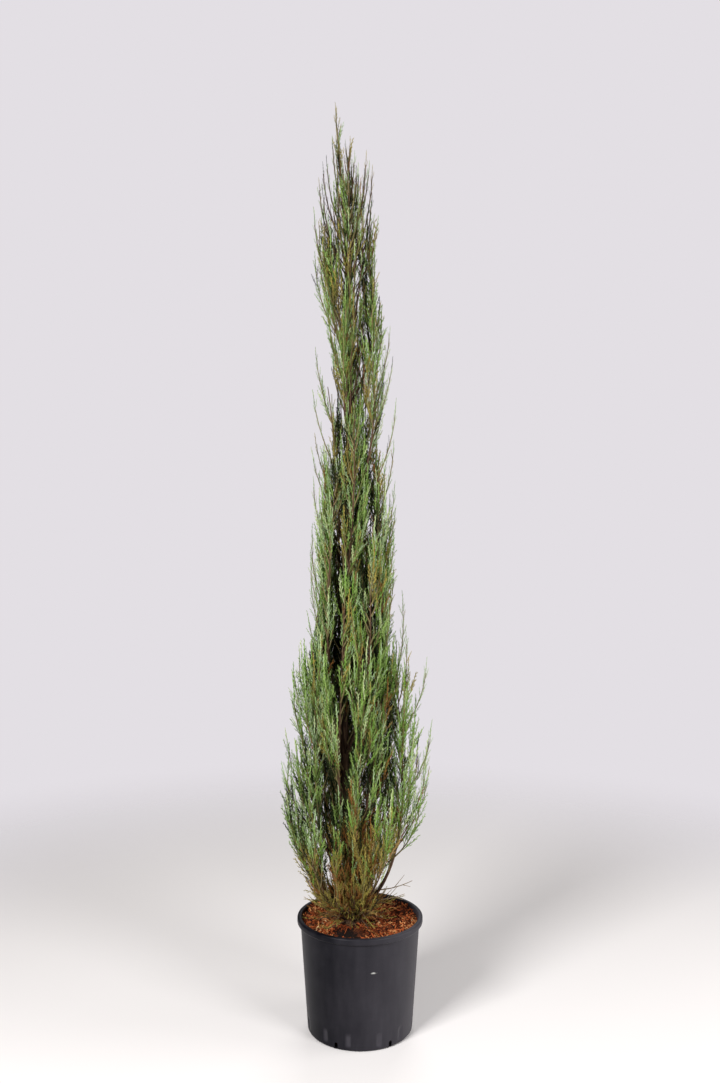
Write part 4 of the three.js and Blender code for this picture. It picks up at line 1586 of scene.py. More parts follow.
@dataclass(frozen=True)
class PottingBark:
    """The bark that fills the pot: a mounded bed with chips scattered over it."""

    pot: Pot
    rule: GrowthRule
    seed: int = 5
    mound_rise: float = 5.0
    mound_share: float = 0.8
    hollow_depth: float = 6.5
    hollow_at: Pair = (-26.0, -56.0)
    hollow_span: Pair = (46.0, 26.0)
    heap_rise: float = 1.3
    # Place and span in x, then in y, and the rise of each heap
    heaps: tuple[Row, ...] = (
        (55, 40, -20, 45, 1), (0, math.inf, 100, 40, 1.5), (118, 30, 0, math.inf, 1),
        (-118, 30, 0, math.inf, 1.4),
    )
    lump_rise: float = 1.3
    flat_to: float = 0.4
    mounded_at: float = 60.0
    lightness_mean: float = 0.3
    patch_depth: float = 0.448
    pale_rise: float = 0.26
    pale_x: float = -100.0
    pale_span: float = 35.0
    # The hollow is painted darker, as the shade in the pit
    hollow_shade_depth: float = 1.2
    drawn_in: float = 12.0
    rim_gap: float = 0.5
    rings: int = 34
    facets: int = 110
    least_level: float = 0.3
    chip_gap_to_wall: float = 5.0
    chip_sizes: tuple[Pair, ...] = ((24, 3.2), (18, 4.0), (30, 1.6), (14, 2.7), (22, 2.0), (11, 3.6))
    chip_thickness: Pair = (0.9, 2.0)
    chip_spread: Pair = (0.85, 1.0)
    # Share of the length and of the width at each section of a chip
    chip_sections: tuple[Pair, ...] = ((0.0, 0.55), (0.5, 1.0), (1.0, 0.55))
    chip_bend: Pair = (0.8, 0.7)
    chip_rough: float = 0.35
    chip_scales: Pair = (0.38, 1.05)
    chip_density: float = 92000.0
    chip_tilt: float = 0.7
    tone_spread: float = 3.9
    # Chips keep off the hollow's middle, so that the dark bed shows there as painted shade
    bare_from: float = 0.36

    def hollow(self, x: Array, y: Array) -> Array:
        """Gives the depth of the hollow in front, from 0 to 1."""
        (at_x, at_y), (wide, deep) = self.hollow_at, self.hollow_span
        return np.exp(-(((x - at_x) / wide) ** 2) - ((y - at_y) / deep) ** 2)

    def ground(self, x: Array, y: Array) -> Array:
        """Gives the height of the bed: low mounds, a hollow in front and small lumps.

        Args:
            x: places across.
            y: places in depth.

        Returns:
            The height at each place.
        """
        # No wavelength is a multiple of another, so that the bed doesn't repeat
        mound = np.sin(x / 31 + 1) * np.cos(y / 37) + 0.4 * np.sin(y / 19)
        lumps = self.lump_rise * np.sin(x / 7.3 + 2 * np.sin(y / 11.1)) * np.cos(y / 8.1 + np.sin(x / 9.7))
        heap = sum(
            rise * np.exp(-(((x - at_x) / wide) ** 2) - ((y - at_y) / deep) ** 2)
            for at_x, wide, at_y, deep, rise in self.heaps
        )
        reach = np.clip(np.hypot(x, y) / self.mounded_at - self.flat_to, 0, 1)
        relief = self.mound_share * mound - self.hollow_depth * self.hollow(x, y) + self.heap_rise * heap
        return self.rule.ground_z + self.mound_rise * relief * reach + lumps

    def lightness(self, x: Array, y: Array) -> Array:
        """Gives how pale the chips are: in patches, paler on the left, and painted dark in the hollow as its
        shade.

        Args:
            x: places across.
            y: places in depth.

        Returns:
            About 0 to 1 on the open bed, and less in the hollow.
        """
        patches = np.sin(x / 17 + 2 * np.sin(y / 23)) * np.cos(y / 15 + np.sin(x / 29))
        pale = self.pale_rise * np.exp(-(((x - self.pale_x) / self.pale_span) ** 2))
        mean = self.lightness_mean + self.patch_depth * patches + pale
        return np.clip(mean - self.hollow_shade_depth * self.hollow(x, y), -1.5, 1)

    def bed(self) -> Object:
        """Makes the bed as a closed body down to the pot's floor.

        Returns:
            The bed, with where it bears chips and how pale they are.
        """
        edge = self.pot.wall_radius(self.rule.ground_z) - self.pot.wall - self.rim_gap
        foot = self.pot.wall_radius(self.pot.floor) - self.pot.wall - self.drawn_in
        radii = np.linspace(0, edge, self.rings + 1)[1:]
        turns = np.linspace(0, TURN, self.facets, endpoint=False)
        x, y = np.outer(np.cos(turns), radii), np.outer(np.sin(turns), radii)
        low_z = self.pot.floor + self.rule.seat
        top = np.stack([x, y, self.ground(x, y)], axis=-1)
        low = np.stack([foot * np.cos(turns), foot * np.sin(turns), np.full(self.facets, low_z)], axis=-1)
        grid = np.concatenate([top, low[:, None]], axis=1)
        middle = [[0, 0, float(self.ground(np.zeros(1), np.zeros(1))[0])], [0, 0, low_z]]
        points = np.vstack([grid.reshape(-1, 3), middle])
        bed = mesh_piece("bark_bed", points, turned_faces(self.facets, self.rings + 1, outward=False))
        x, y, _ = np.array([p.center for p in bed.data.polygons]).T / MM
        level = np.array([p.normal.z for p in bed.data.polygons]) > self.least_level
        inside = np.hypot(x, y) < self.pot.wall_radius(self.rule.ground_z) - self.chip_gap_to_wall
        covered = level & inside & (self.hollow(x, y) < self.bare_from)
        set_attributes(bed.data, "FACE", {"chips": ("BOOLEAN", covered)})
        x, y, _ = corners_of(bed.data).T / MM
        set_attributes(bed.data, "POINT", {"lightness": ("FLOAT", self.lightness(x, y))})
        return bed

    def chip_shapes(self) -> Collection:
        """Makes a few split slivers of bark for scattering.

        Returns:
            A collection that isn't part of the scene.
        """
        draw = np.random.default_rng(self.seed)
        shapes = bpy.data.collections.new("chip_shapes")
        for k, (longest, widest) in enumerate(self.chip_sizes):
            length, width = (most * draw.uniform(*self.chip_spread) for most in (longest, widest))
            half_t = draw.uniform(*self.chip_thickness) / 2
            sections = []
            for share, narrow in self.chip_sections:
                bend = [draw.normal(0, most) for most in self.chip_bend]
                middle = np.array([(share - 0.5) * length, *bend])
                half_w = narrow * width / 2
                corners = ((-half_w, -half_t), (half_w, -half_t), (half_w, half_t), (-half_w, half_t))
                square = np.array([[0, *corner] for corner in corners])
                sections.append(middle + square + draw.normal(0, self.chip_rough, (4, 3)))
            mesh_piece(f"chip_{k}", np.vstack(sections), prism_faces(4, 3), smooth=False, home=shapes)
        return shapes

    def chip_tree(self, shapes: Collection) -> NodeTree:
        """Builds the tree that scatters chips over the bed.

        Args:
            shapes: the chips to scatter.

        Returns:
            The tree, with its density, tilt and seed as named inputs.
        """
        sizes = {
            "Density": ("NodeSocketFloat", self.chip_density),
            "Tilt": ("NodeSocketFloat", self.chip_tilt),
            "Seed": ("NodeSocketInt", self.seed),
        }
        reads = {"chips": "BOOLEAN", "lightness": "FLOAT", "tone": "INT"}
        tree, node, given = new_tree("scatter_bark_chips", sizes, reads)
        where = {"Mesh": given["Geometry"], "Selection": given["chips"]}
        much = {"Density": given["Density"], "Seed": given["Seed"]}
        spread = node("GeometryNodeDistributePointsOnFaces", {**where, **much})
        tilt = given["Tilt"]
        low = node("ShaderNodeMath", {"Value": tilt, "Value_001": -1.0}, operation="MULTIPLY")
        least = node("ShaderNodeCombineXYZ", {"X": low, "Y": low})
        most = node("ShaderNodeCombineXYZ", {"X": tilt, "Y": tilt, "Z": TURN})
        any_way = {"Min": least, "Max": most, "Seed": 1}
        tumble = node("FunctionNodeRandomValue", any_way, data_type="FLOAT_VECTOR")
        size, tone = (
            node("FunctionNodeRandomValue", {"Min_001": a, "Max_001": b, "Seed": s}, data_type="FLOAT")
            for a, b, s in ((*self.chip_scales, 2), (0.0, self.tone_spread, 3))
        )
        # The tones above the random ones are reached only where the bed is light
        above = len(CHIP_FINISHES) - self.tone_spread - 0.01
        # The hollow's painted shade also darkens the chips near it
        toned = {"Value": given["lightness"], "Value_001": above, "Value_002": tone}
        lighter = node("ShaderNodeMath", toned, operation="MULTIPLY_ADD")
        positive = node("ShaderNodeMath", {"Value": lighter, "Value_001": 0.0}, operation="MAXIMUM")
        whole = node("FunctionNodeFloatToInt", {"Float": positive}, rounding_mode="FLOOR")
        mark = {"Geometry": spread, "Name": "tone", "Value": whole}
        marked = node("GeometryNodeStoreNamedAttribute", mark, data_type="INT", domain="POINT")
        pick = {"Collection": shapes, "Separate Children": True, "Reset Children": True}
        kinds = node("GeometryNodeCollectionInfo", pick)
        lay = {"Instance": kinds, "Pick Instance": True, "Rotation": tumble, "Scale": size}
        laid = node("GeometryNodeInstanceOnPoints", {"Points": marked, **lay})
        paint_by_tone(tree, laid, given["tone"], CHIP_FINISHES)
        return tree

    def keep_in_pot(self, mesh: Mesh) -> None:
        """Moves the corners of chips that would cut into the pot's wall back inside it.

        Args:
            mesh: the chips, in metres.
        """
        corners = corners_of(mesh)
        inner = self.pot.wall_radius(corners[:, 2] / MM) - self.pot.wall - self.rim_gap
        most = self.pot.wall_radius(self.pot.height - self.pot.lip_depth) - self.pot.wall
        reach = np.maximum(np.hypot(corners[:, 0], corners[:, 1]), MM)
        corners[:, :2] *= np.minimum(1, np.minimum(inner * MM, most * MM) / reach)[:, None]
        mesh.vertices.foreach_set("co", corners.ravel())
        mesh.update()

    def build(self) -> None:
        """Makes the bed and its chips."""
        bed = self.bed()
        chips = bed.copy()
        chips.data = bed.data.copy()
        chips.name = "bark_chips"
        bpy.context.scene.collection.objects.link(chips)
        sizes = {"Density": self.chip_density, "Tilt": self.chip_tilt, "Seed": self.seed}
        apply_tree(chips, self.chip_tree(self.chip_shapes()), sizes)
        self.keep_in_pot(chips.data)
        bed.data.materials.append(DampBark().material())
        settle(bed, "substrate", "potting_bark")
        settle(chips, "substrate")


@dataclass(frozen=True)
class Limbs:
    """The trunk and the bare boughs, with the bark's fibrous relief."""

    rule: GrowthRule
    trunk_sides: int = 30
    bough_sides: int = 10
    fewest_rings: int = 4
    low_step: float = 6.0
    high_step: float = 13.0
    low_to: float = 620.0
    sunk: float = 5.0
    relief: float = 0.1

    def ridges(self, turn: Array, z: Array, seed: int) -> Array:
        """Gives the relief of stringy bark, from about -1 to 1.

        Args:
            turn: the turn round the limb.
            z: the distance along it.
            seed: a number for the limb.

        Returns:
            The height of the relief.
        """
        # No wavelength is a multiple of another, so that the relief doesn't repeat
        drift = 0.9 * np.sin(z / 83 + seed) + 0.5 * np.sin(z / 37 + 2.1 * seed)
        broad = np.sin(3 * turn + drift) + 0.6 * np.sin(5 * turn - 1.7 * drift + seed)
        fine = np.sin(9 * turn + 2.3 * drift + np.sin(z / 17)) * (0.6 + 0.4 * np.sin(z / 23 + 4 * turn))
        return (broad + 0.9 * fine) / 2.5

    def tube(self, centres: Array, along: Array, radii: Array, sides: int, seed: int) -> Array:
        """Gives the corners of a limb with relief.

        Args:
            centres: the middle of each ring.
            along: the direction square to each ring.
            radii: the radius of each ring.
            sides: how many corners a ring has.
            seed: a number for the limb.

        Returns:
            One row for each corner, ring by ring.
        """
        turns = np.linspace(0, TURN, sides, endpoint=False)
        travelled = np.r_[0, np.cumsum(np.linalg.norm(np.diff(centres, axis=0), axis=1))]
        rough = 1 + self.relief * self.ridges(turns[None], travelled[:, None], seed)
        spokes = np.stack([spoke(along, turn) for turn in turns], axis=1)
        return (centres[:, None] + spokes * (radii[:, None] * rough)[..., None]).reshape(-1, 3)

    def build(self, shoots: Sequence[Shoot]) -> None:
        """Makes one mesh of the trunk and every bough.

        Args:
            shoots: the shoots, whose first part is a bough where they have one.
        """
        low = np.arange(self.rule.ground_z - self.sunk, self.low_to, self.low_step)
        z = np.r_[low, np.arange(self.low_to, self.rule.trunk_end_z, self.high_step)]
        upright = np.tile(UP, (len(z), 1))
        limbs = [(self.rule.trunk_at(z), upright, self.rule.trunk_radius(z), self.trunk_sides, 1)]
        nodes = ["trunk"]
        for shoot in (s for s in shoots if s.bough_share):
            stem = shoot.stem
            rings = max(self.fewest_rings, round(stem.length * shoot.bough_share / self.low_step))
            share = np.linspace(0, shoot.bough_share, rings)
            line = stem.at(share), stem.along(share), stem.radius(share)
            limbs.append((*line, self.bough_sides, shoot.index))
            nodes.append(shoot.node.replace("foliage", "bough"))
        points = np.empty((0, 3))
        faces: Faces = []
        for centres, along, radii, sides, seed in limbs:
            faces += prism_faces(sides, len(centres), len(points))
            points = np.vstack([points, self.tube(centres, along, radii, sides, seed)])
        piece = mesh_piece("limbs", points, faces)
        piece.data.materials.append(StringyBark().material())
        settle(piece, "bark", *nodes)


@dataclass(frozen=True)
class Twigs:
    """The wood inside the masses: stems, twigs, the fine wood of sprays, and dead twigs."""

    sides: int = 5
    stem_points: int = 24
    stem_overlap: float = 0.01
    stem_end: float = 0.5

    def tree(self) -> NodeTree:
        """Builds the tree that puts bark round lines of wood.

        Returns:
            The tree, with the number of sides as a named input.
        """
        sizes, reads = {"Sides": ("NodeSocketInt", self.sides)}, {"thick": "FLOAT", "tone": "INT"}
        tree, node, given = new_tree("bark_round_twigs", sizes, reads)
        line = node("GeometryNodeMeshToCurve", {"Mesh": given["Geometry"]})
        ring = {"Resolution": given["Sides"], "Radius": 1.0}
        section = node("GeometryNodeCurvePrimitiveCircle", ring)
        sweep = {"Curve": line, "Profile Curve": section, "Scale": given["thick"], "Fill Caps": True}
        wood = node("GeometryNodeCurveToMesh", sweep)
        soft = node("GeometryNodeSetShadeSmooth", {"Geometry": wood, "Shade Smooth": True})
        paint_by_tone(tree, soft, given["tone"], TWIG_FINISHES.values())
        return tree

    def build(self, growth: Growth, shoots: Sequence[Shoot], room: GrowingRoom) -> None:
        """Makes one piece of all the wood that isn't trunk or bough.

        Args:
            growth: the twigs.
            shoots: the shoots, whose stems go on from the boughs.
            room: the room in the crown, whose gaps stay clear of twigs.
        """
        lines: list[Line] = []
        thinner = np.linspace(1, self.stem_end, self.stem_points)
        for shoot in shoots:
            share = np.linspace(max(0, shoot.bough_share - self.stem_overlap), 1, self.stem_points)
            lines.append((shoot.stem.at(share), shoot.stem.radius(share) * thinner, TwigAge.WOODY))
        lines += [line for line, blocked in zip(growth.wood, growth.blocked(room)) if not blocked]
        paths, radii, ages = zip(*lines)
        counts = [len(path) for path in paths]
        starts = np.cumsum([0] + counts[:-1])
        edges = [[k, k + 1] for start, count in zip(starts, counts) for k in range(start, start + count - 1)]
        piece = mesh_piece("twigs", np.concatenate(paths), edges=edges)
        thick, tone = np.concatenate(radii) * MM, np.repeat([int(age) for age in ages], counts)
        set_attributes(piece.data, "POINT", {"thick": ("FLOAT", thick), "tone": ("INT", tone)})
        apply_tree(piece, self.tree(), {"Sides": self.sides})
        settle(piece, "bark")


@dataclass
class Cords:
    """Corners and faces of a sprig while its three-sided cords are made."""

    points: list[Array] = field(default_factory=list)
    faces: Faces = field(default_factory=list)
    tips: list[bool] = field(default_factory=list)

    def add(self, *corners: Array) -> list[int]:
        """Adds corners and gives their numbers."""
        self.points += corners
        return list(range(len(self.points) - len(corners), len(self.points)))

    def ring(self, centre: Array, along: Array, radius: float) -> list[int]:
        """Adds three corners round a centre and gives their numbers."""
        return self.add(*(centre + radius * spoke(along, TURN * k / 3) for k in range(3)))

    def join(self, low: list[int], high: list[int], tip: bool) -> None:
        """Adds the faces between two rings, or between a ring and a point.

        Args:
            low: the corner numbers of the lower one.
            high: those of the upper one.
            tip: whether the faces count as the sprig's tip.
        """
        for k, after in ((0, 1), (1, 2), (2, 0)):
            ends = [(ring[k % len(ring)], ring[after % len(ring)]) for ring in (low, high)]
            self.faces.append(list(dict.fromkeys((*ends[0], *ends[1][::-1]))))
            self.tips.append(tip)


@dataclass(frozen=True)
class SprigShape:
    """A sprig: one long cord of scale leaves with short cords along it, of unit length along Z.

    Real cords are about 1 mm thick and far too many, so a sprig is drawn coarser and stands for about three.
    """

    seed: int
    cord_radius: float = 0.0138
    # Share of the length and width of each ring of the main cord, and how many joints come before its tip
    sections: tuple[Pair, ...] = ((0, 0.8), (0.3, 1), (0.6, 1), (0.88, 0.8))
    joints_below_tip: int = 2
    side_count: int = 13
    side_span: Pair = (0.05, 0.9)
    side_radius: float = 0.015
    side_belly: float = 0.55
    side_rise: float = 0.35
    side_angle: float = math.radians(27)
    side_turn: float = 2.4
    side_spread: Pair = (0.75, 1.25)
    low_side: float = 0.26
    high_side: float = 0.11
    bend: float = 0.035
    tip_from: float = 0.55
    side_tip_from: float = 0.3

    def build(self, name: str, shapes: Collection) -> None:
        """Makes the sprig's mesh in unit size, with its last third marked as tip.

        Args:
            name: the object's name.
            shapes: the collection that gets it.
        """
        draw = np.random.default_rng(self.seed)
        cords = Cords()
        sway = heading(draw.uniform(0, TURN)) * self.bend
        rings = [cords.ring(self.middle(s, sway), UP, self.cord_radius * w) for s, w in self.sections]
        chain = [*rings, cords.add(self.middle(1.0, sway))]
        for number, (low, high) in enumerate(zip(chain, chain[1:])):
            cords.join(low, high, number >= self.joints_below_tip)
        turn = draw.uniform(0, TURN)
        for n in range(self.side_count):
            share = blend(*self.side_span, n / (self.side_count - 1))
            turn += self.side_turn + draw.normal(0, 0.4)
            angle = self.side_angle * draw.uniform(*self.side_spread)
            along = unit(math.cos(angle) * UP + math.sin(angle) * spoke(UP, turn))
            length = blend(self.low_side, self.high_side, share) * draw.uniform(*self.side_spread)
            root = self.middle(share, sway)
            start = cords.add(root)
            belly = cords.ring(root + along * self.side_belly * length, along, self.side_radius)
            end = cords.add(root + unit(along + self.side_rise * UP) * length)
            cords.join(start, belly, share > self.tip_from)
            cords.join(belly, end, share > self.side_tip_from)
        sprig = mesh_piece(name, np.array(cords.points), cords.faces, scale=1.0, home=shapes)
        set_attributes(sprig.data, "FACE", {"tip": ("BOOLEAN", np.array(cords.tips))})

    def middle(self, share: float, sway: Array) -> Array:
        """Gives the main cord's middle at a share of its length."""
        return UP * share + sway * math.sin(math.pi * share)


@dataclass(frozen=True)
class Foliage:
    """The masses of scale-leaved sprigs."""

    rule: GrowthRule
    seed: int = 23
    sprig_kinds: int = 4
    whip_kinds: int = 2
    whip_sides: Pair = (0.17, 0.08)
    whip_angle: float = math.radians(18)
    most_triangles: int = 190000
    shade_reach: float = 75.0
    shade_step: float = 14.0
    shade_least: float = 9.0
    shade_span: float = 26.0
    shade_batch: int = 500
    plume_share: float = 0.6
    # Each start and span of a change of tones, up the crown or out from its middle
    hem_top: Pair = (640.0, 160.0)
    right_from: Pair = (-80.0, 160.0)
    upper_from: Pair = (1000.0, 400.0)
    crest_from: Pair = (1580.0, 300.0)
    core_edge: Pair = (0.66, 0.25)
    core_foot: Point = (300.0, 200.0, 0.3)
    low_on_plume: Pair = (0.4, 0.3)
    foot_top: Point = (512.0, 60.0, 105.0)
    # A dry patch low in front and on the right: its place and span in x and z, and its strength
    dry_at: Pair = (42.0, 445.0)
    dry_span: Pair = (62.0, 85.0)
    lightness_share: float = 0.8
    # Share of each tone, in the order of their numbers
    left: Row = (0.06, 0.28, 0.27, 0.14, 0.03, 0.17, 0.03, 0.01, 0.01, 0.0)
    hem: Row = (0.2, 0.36, 0.16, 0.06, 0.01, 0.15, 0.03, 0.01, 0.02, 0.0)
    right: Row = (0.05, 0.18, 0.2, 0.07, 0.05, 0.31, 0.07, 0.06, 0.01, 0.0)
    upper: Row = (0.06, 0.24, 0.22, 0.17, 0.04, 0.02, 0.21, 0.03, 0.008, 0.002)
    crest: Row = (0.25, 0.27, 0.16, 0.08, 0.0, 0.0, 0.23, 0.0, 0.01, 0.0)
    # Inside, the tones are painted shade, mostly the near-black green
    inside: Row = (0.68, 0.14, 0.03, 0.0, 0.0, 0.04, 0.05, 0.0, 0.05, 0.01)
    foot: Row = (0.06, 0.01, 0.0, 0.0, 0.0, 0.0, 0.36, 0.11, 0.41, 0.05)

    def tree(self) -> NodeTree:
        """Builds the tree that sets a sprig on each point, along its aim.

        Returns:
            The tree, with the sprigs' size as a named input.
        """
        shapes = bpy.data.collections.new("sprig_shapes")
        slim = dict(zip(("low_side", "high_side", "side_angle"), (*self.whip_sides, self.whip_angle)))
        for k in range(self.sprig_kinds + self.whip_kinds):
            SprigShape(self.seed + k, **(slim if k >= self.sprig_kinds else {})).build(f"sprig_{k}", shapes)
        reads = {"aim": "FLOAT_VECTOR", "roll": "FLOAT", "size": "FLOAT", "kind": "INT", "tip": "BOOLEAN"}
        reads |= {"tone": "INT", "tip_tone": "INT"}
        tree, node, given = new_tree("sprigs_on_wood", {"Size": ("NodeSocketFloat", 1.0)}, reads)
        aimed = node("FunctionNodeAlignRotationToVector", {"Vector": given["aim"]}, axis="Z")
        spin = {"Axis": (0.0, 0.0, 1.0), "Angle": given["roll"]}
        roll = node("FunctionNodeAxisAngleToRotation", spin)
        turns = {"Rotation": aimed, "Rotate By": roll}
        turned = node("FunctionNodeRotateRotation", turns, rotation_space="LOCAL")
        lengths = {"Value": given["size"], "Value_001": given["Size"]}
        length = node("ShaderNodeMath", lengths, operation="MULTIPLY")
        pick = {"Collection": shapes, "Separate Children": True, "Reset Children": True}
        kinds = node("GeometryNodeCollectionInfo", pick)
        which = {"Instance": kinds, "Pick Instance": True, "Instance Index": given["kind"]}
        way = {"Points": given["Geometry"], "Rotation": turned, "Scale": length}
        set_on = node("GeometryNodeInstanceOnPoints", {**way, **which})
        either = {"Switch": given["tip"], "False": given["tone"], "True": given["tip_tone"]}
        tone = node("GeometryNodeSwitch", either, input_type="INT")
        paint_by_tone(tree, set_on, tone, SPRIG_FINISHES.values())
        return tree

    def shade(self, at: Array) -> Array:
        """Tells how far each sprig stands in the shade of others that are further out.

        Args:
            at: the middle of each sprig.

        Returns:
            From 0 in the open to 1 deep inside.
        """
        out = at - self.rule.crown_axis(at[:, 2])
        out[:, 2] = 0.0
        out = unit(out)
        hidden = np.zeros(len(at))
        for start in range(0, len(at), self.shade_batch):
            part = slice(start, start + self.shade_batch)
            off = at[None] - at[part][:, None]
            near = (off**2).sum(-1) < self.shade_reach**2
            ahead = np.einsum("ijk,ik->ij", off, out[part]) > self.shade_step
            hidden[part] = (near & ahead).sum(1)
        return np.clip((hidden - self.shade_least) / self.shade_span, 0, 1)

    def deal_tones(self, at: Array, rises: Array, plumes: Array) -> Array:
        """Deals a tone to each sprig by its place: green outside, painted shade inside, olive and rust at the
        foot.

        Args:
            at: the middle of each sprig.
            rises: how far up its plume each one stands.
            plumes: the number of each one's plume, because a plume's sprigs are alike.

        Returns:
            A tone number for each sprig.
        """
        x, z = at[:, :1], at[:, 2:]
        width = self.rule.half_width(at[:, 2])
        out = (np.linalg.norm((at - self.rule.crown_axis(at[:, 2]))[:, :2], axis=1) / width)[:, None]
        edge, (foot_z, foot_span, least) = self.core_edge, self.core_foot
        core = np.clip((edge[0] - out) / edge[1], 0, 1) * np.clip((z - foot_z) / foot_span, least, 1)
        # Painted shade: sprigs far into the crown behind others further out, and sprigs low on their plume,
        # get the inside's dark tones
        shade_low_on_plume = self.low_on_plume[1] * np.clip(self.low_on_plume[0] - rises[:, None], 0, 1)
        inner = np.clip(self.shade(at)[:, None] * core + shade_low_on_plume, 0, 1)
        # The foot's colours reach higher in the middle of the crown
        top, lift, span = self.foot_top
        low = np.clip((top + lift * np.clip(1.6 - 4 * out, -0.4, 1) - z) / span, 0, 1)
        off = (at[:, ::2] - self.dry_at) / self.dry_span
        low = np.maximum(low, self.lightness_share * np.exp(-(off**2).sum(1, keepdims=True)))
        tables = (self.left, self.hem, self.right, self.upper, self.crest, self.inside, self.foot)
        left, hem, right, upper, crest, inside, foot = (np.array(table) for table in tables)
        weights = blend(hem, left, ramp(z, *self.hem_top))
        weights = blend(weights, right, ramp(x, *self.right_from))
        weights = blend(weights, upper, ramp(z, *self.upper_from))
        weights = blend(weights, crest, ramp(z, *self.crest_from))
        weights = blend(blend(weights, inside, inner), foot, low)
        draw = np.random.default_rng(self.seed)
        by_plume = draw.random(int(plumes.max()) + 1)[plumes]
        pick = np.where(draw.random(len(at)) < self.plume_share, by_plume, draw.random(len(at)))
        steps = np.cumsum(weights, axis=1)
        return np.minimum((pick[:, None] * steps[:, -1:] > steps).sum(1), len(Tone) - 1)

    def runs(self, counts: Array, shoots: Sequence[Shoot]) -> list[tuple[str, str, list[int]]]:
        """Shares the masses out among pieces, each for a run of neighbours, with the foot's apart.

        Args:
            counts: the triangles of each mass.
            shoots: the shoots that carry the masses.

        Returns:
            The name, the slot and the masses of each piece.
        """
        runs: list[list[int]] = [[]]
        feet = [s.index for s in shoots if s.node.startswith("foliage_foot")]
        for number in (s.index for s in shoots if s.index not in feet):
            if counts[runs[-1]].sum() + counts[number] > self.most_triangles:
                runs.append([])
            runs[-1].append(number)
        named = [(f"foliage_{k + 1}", "foliage", run) for k, run in enumerate(runs)]
        return [*named, ("foliage_foot", "foot_foliage", feet)]

    def build(self, growth: Growth, shoots: Sequence[Shoot], room: GrowingRoom) -> None:
        """Makes the pieces of foliage.

        Args:
            growth: the sprigs.
            shoots: the shoots that carry the masses.
            room: the room in the crown, whose hollows stay clear of sprigs.
        """
        columns = [np.concatenate(column) for column in zip(*growth.sprigs)]
        at, aim, size, _, _, plumes = columns
        kept = ~room.hollow(at + aim * 0.5 * size[:, None]) & ~growth.blocked(room)[plumes]
        at, aim, size, rises, mass, plumes = (column[kept] for column in columns)
        tone = self.deal_tones(at + aim * 0.5 * size[:, None], rises, plumes)
        tip_tone = np.array([int(TIP_TONES.get(t, t)) for t in Tone])[tone]
        tree = self.tree()
        draw = np.random.default_rng(self.seed + 2)
        whips = draw.integers(self.sprig_kinds, self.sprig_kinds + self.whip_kinds, len(at))
        kind = np.where(rises >= 1, whips, draw.integers(0, self.sprig_kinds, len(at)))
        roll = draw.uniform(0, TURN, len(at))
        looks = {"aim": ("FLOAT_VECTOR", aim), "roll": ("FLOAT", roll), "size": ("FLOAT", size * MM)}
        looks |= {"kind": ("INT", kind), "tone": ("INT", tone), "tip_tone": ("INT", tip_tone)}
        per_sprig = triangles_in(bpy.data.objects["sprig_0"].data)
        counts = np.bincount(mass, minlength=len(shoots)) * per_sprig
        for name, slot, run in self.runs(counts, shoots):
            chosen = np.isin(mass, run)
            piece = mesh_piece(name, at[chosen])
            own = {label: (data_type, values[chosen]) for label, (data_type, values) in looks.items()}
            set_attributes(piece.data, "POINT", own)
            apply_tree(piece, tree, {"Size": 1.0})
            settle(piece, slot, *(shoots[number].node for number in run))


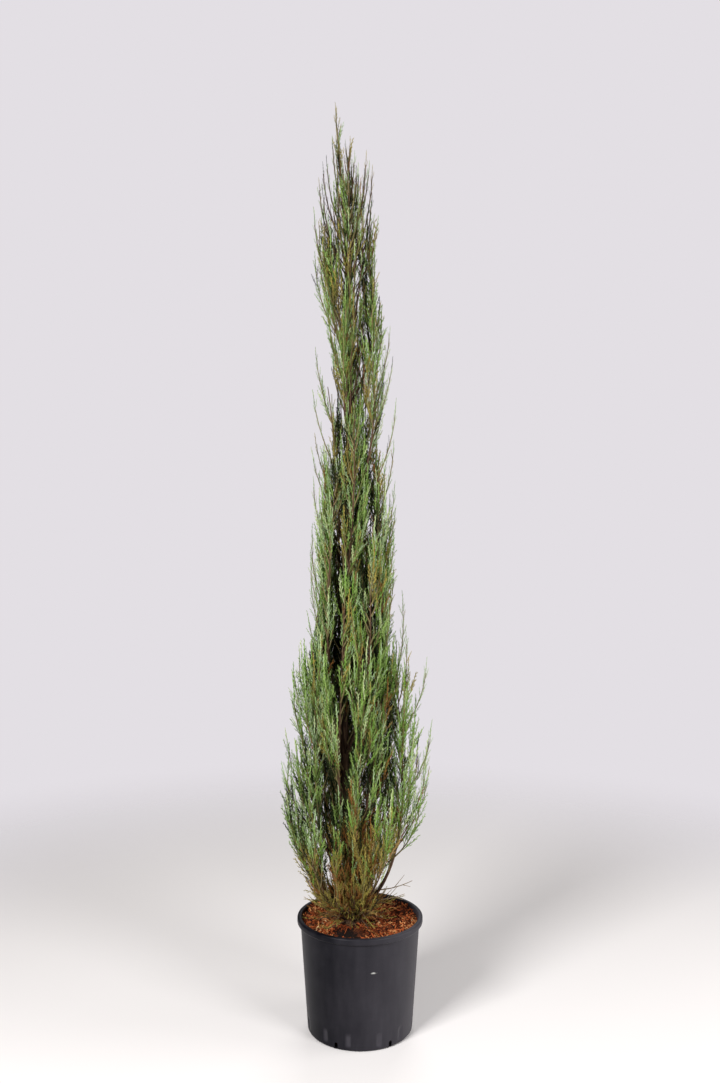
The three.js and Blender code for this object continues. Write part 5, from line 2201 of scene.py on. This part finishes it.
@dataclass(frozen=True)
class Studio:
    """The pale floor, the soft lights and the camera."""

    sensor: float = 36.0
    lens: float = 36.0 * 1090 / 1083
    camera_at: Point = (0.0, -2.63, 1.318)
    tilt: float = math.radians(2.66)
    floor_radius: float = 3.0
    floor_sides: int = 64
    floor_drop: float = 0.0002
    surround: str = "e3dfe4"
    ambient: float = 0.18
    look_at: Point = (0.0, 0.0, 0.95)
    # Name, place, side of the square face and power of each lamp
    lamps: tuple[tuple[str, Point, float, float], ...] = (
        ("key", (-1.9, -2.6, 2.25), 1.2, 176.0),
        ("fill", (2.2, -2.3, 1.5), 1.2, 68.0),
        ("side", (3.0, -0.1, 1.0), 1.8, 48.0),
        ("back", (0.4, 2.6, 2.8), 1.8, 30.0),
    )

    def set_camera(self) -> None:
        """Sets the camera at the photograph's height, distance and tilt."""
        data = bpy.data.cameras.new("camera")
        data.lens = self.lens
        data.sensor_width = self.sensor
        camera = bpy.data.objects.new("camera", data)
        camera.location = self.camera_at
        camera.rotation_euler = (math.pi / 2 - self.tilt, 0.0, 0.0)
        bpy.context.scene.collection.objects.link(camera)
        bpy.context.scene.camera = camera

    def lay_floor(self) -> None:
        """Lays the floor just under the pot."""
        turns = np.linspace(0, TURN, self.floor_sides, endpoint=False)
        drop = np.full(self.floor_sides, -self.floor_drop / self.floor_radius)
        ring = np.stack([np.cos(turns), np.sin(turns), drop], axis=1)
        corners = ring * self.floor_radius / MM
        floor = mesh_piece("floor", corners, [list(range(self.floor_sides))], smooth=False)
        floor.data.materials.append(PaleFloor().material())
        floor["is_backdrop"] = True

    def hang_lamps(self) -> None:
        """Hangs the soft lamps, which look at the middle of the crown."""
        for name, at, size, watts in self.lamps:
            data = bpy.data.lights.new(name, "AREA")
            data.shape = "SQUARE"
            data.size = size
            data.energy = watts
            lamp = bpy.data.objects.new(name, data)
            lamp.location = at
            lamp.rotation_euler = (Vector(self.look_at) - Vector(at)).to_track_quat("-Z", "Y").to_euler()
            bpy.context.scene.collection.objects.link(lamp)

    def light_surround(self) -> None:
        """Makes surroundings that are bright to the camera and dimmer as a light."""
        world = bpy.data.worlds.new("studio")
        bpy.context.scene.world = world
        world.use_nodes = True
        tree = world.node_tree
        tree.nodes.clear()
        seen, lights = (
            add_node(tree, "ShaderNodeBackground", {"Color": linear(self.surround), "Strength": strength})
            for strength in (1.0, self.ambient)
        )
        ray = add_node(tree, "ShaderNodeLightPath")
        ends = {"Shader": lights, "Shader_001": seen}
        both = add_node(tree, "ShaderNodeMixShader", {"Fac": ray, **ends})
        add_node(tree, "ShaderNodeOutputWorld", {"Surface": both})

    def build(self) -> None:
        """Sets up the whole studio."""
        bpy.context.scene.view_settings.view_transform = "Standard"
        self.set_camera()
        self.lay_floor()
        self.hang_lamps()
        self.light_surround()


def write_sizes() -> None:
    """Works out the solids' box and the visual model's box as plain lists, and keeps nothing."""
    boxes = {"cad": CAD_BOX, "visual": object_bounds()}
    {name: [list(corner) for corner in box] for name, box in boxes.items()}


def main() -> None:
    """Builds the studio and every piece in order."""
    logging.basicConfig(level=logging.INFO, format="%(name)s %(message)s")
    rule, growth = GrowthRule(), Growth()
    shoots = rule.shoots()
    room = GrowingRoom(rule, shoots)
    branching = Branching(room, growth)
    Studio().build()
    pot = Pot()
    pot.build()
    PottingBark(pot, rule).build()
    Limbs(rule).build(shoots)
    for shoot in shoots:
        branching.grow(shoot)
    for more in (TrunkShoots(rule), EDGE_WHIPS, LOW_WHIPS):
        more.grow(branching)
    DeadTwigs().grow(shoots[0], growth)
    Foliage(rule).build(growth, shoots, room)
    Twigs().build(growth, shoots, room)
    write_sizes()


if __name__ == "__main__":
    main()
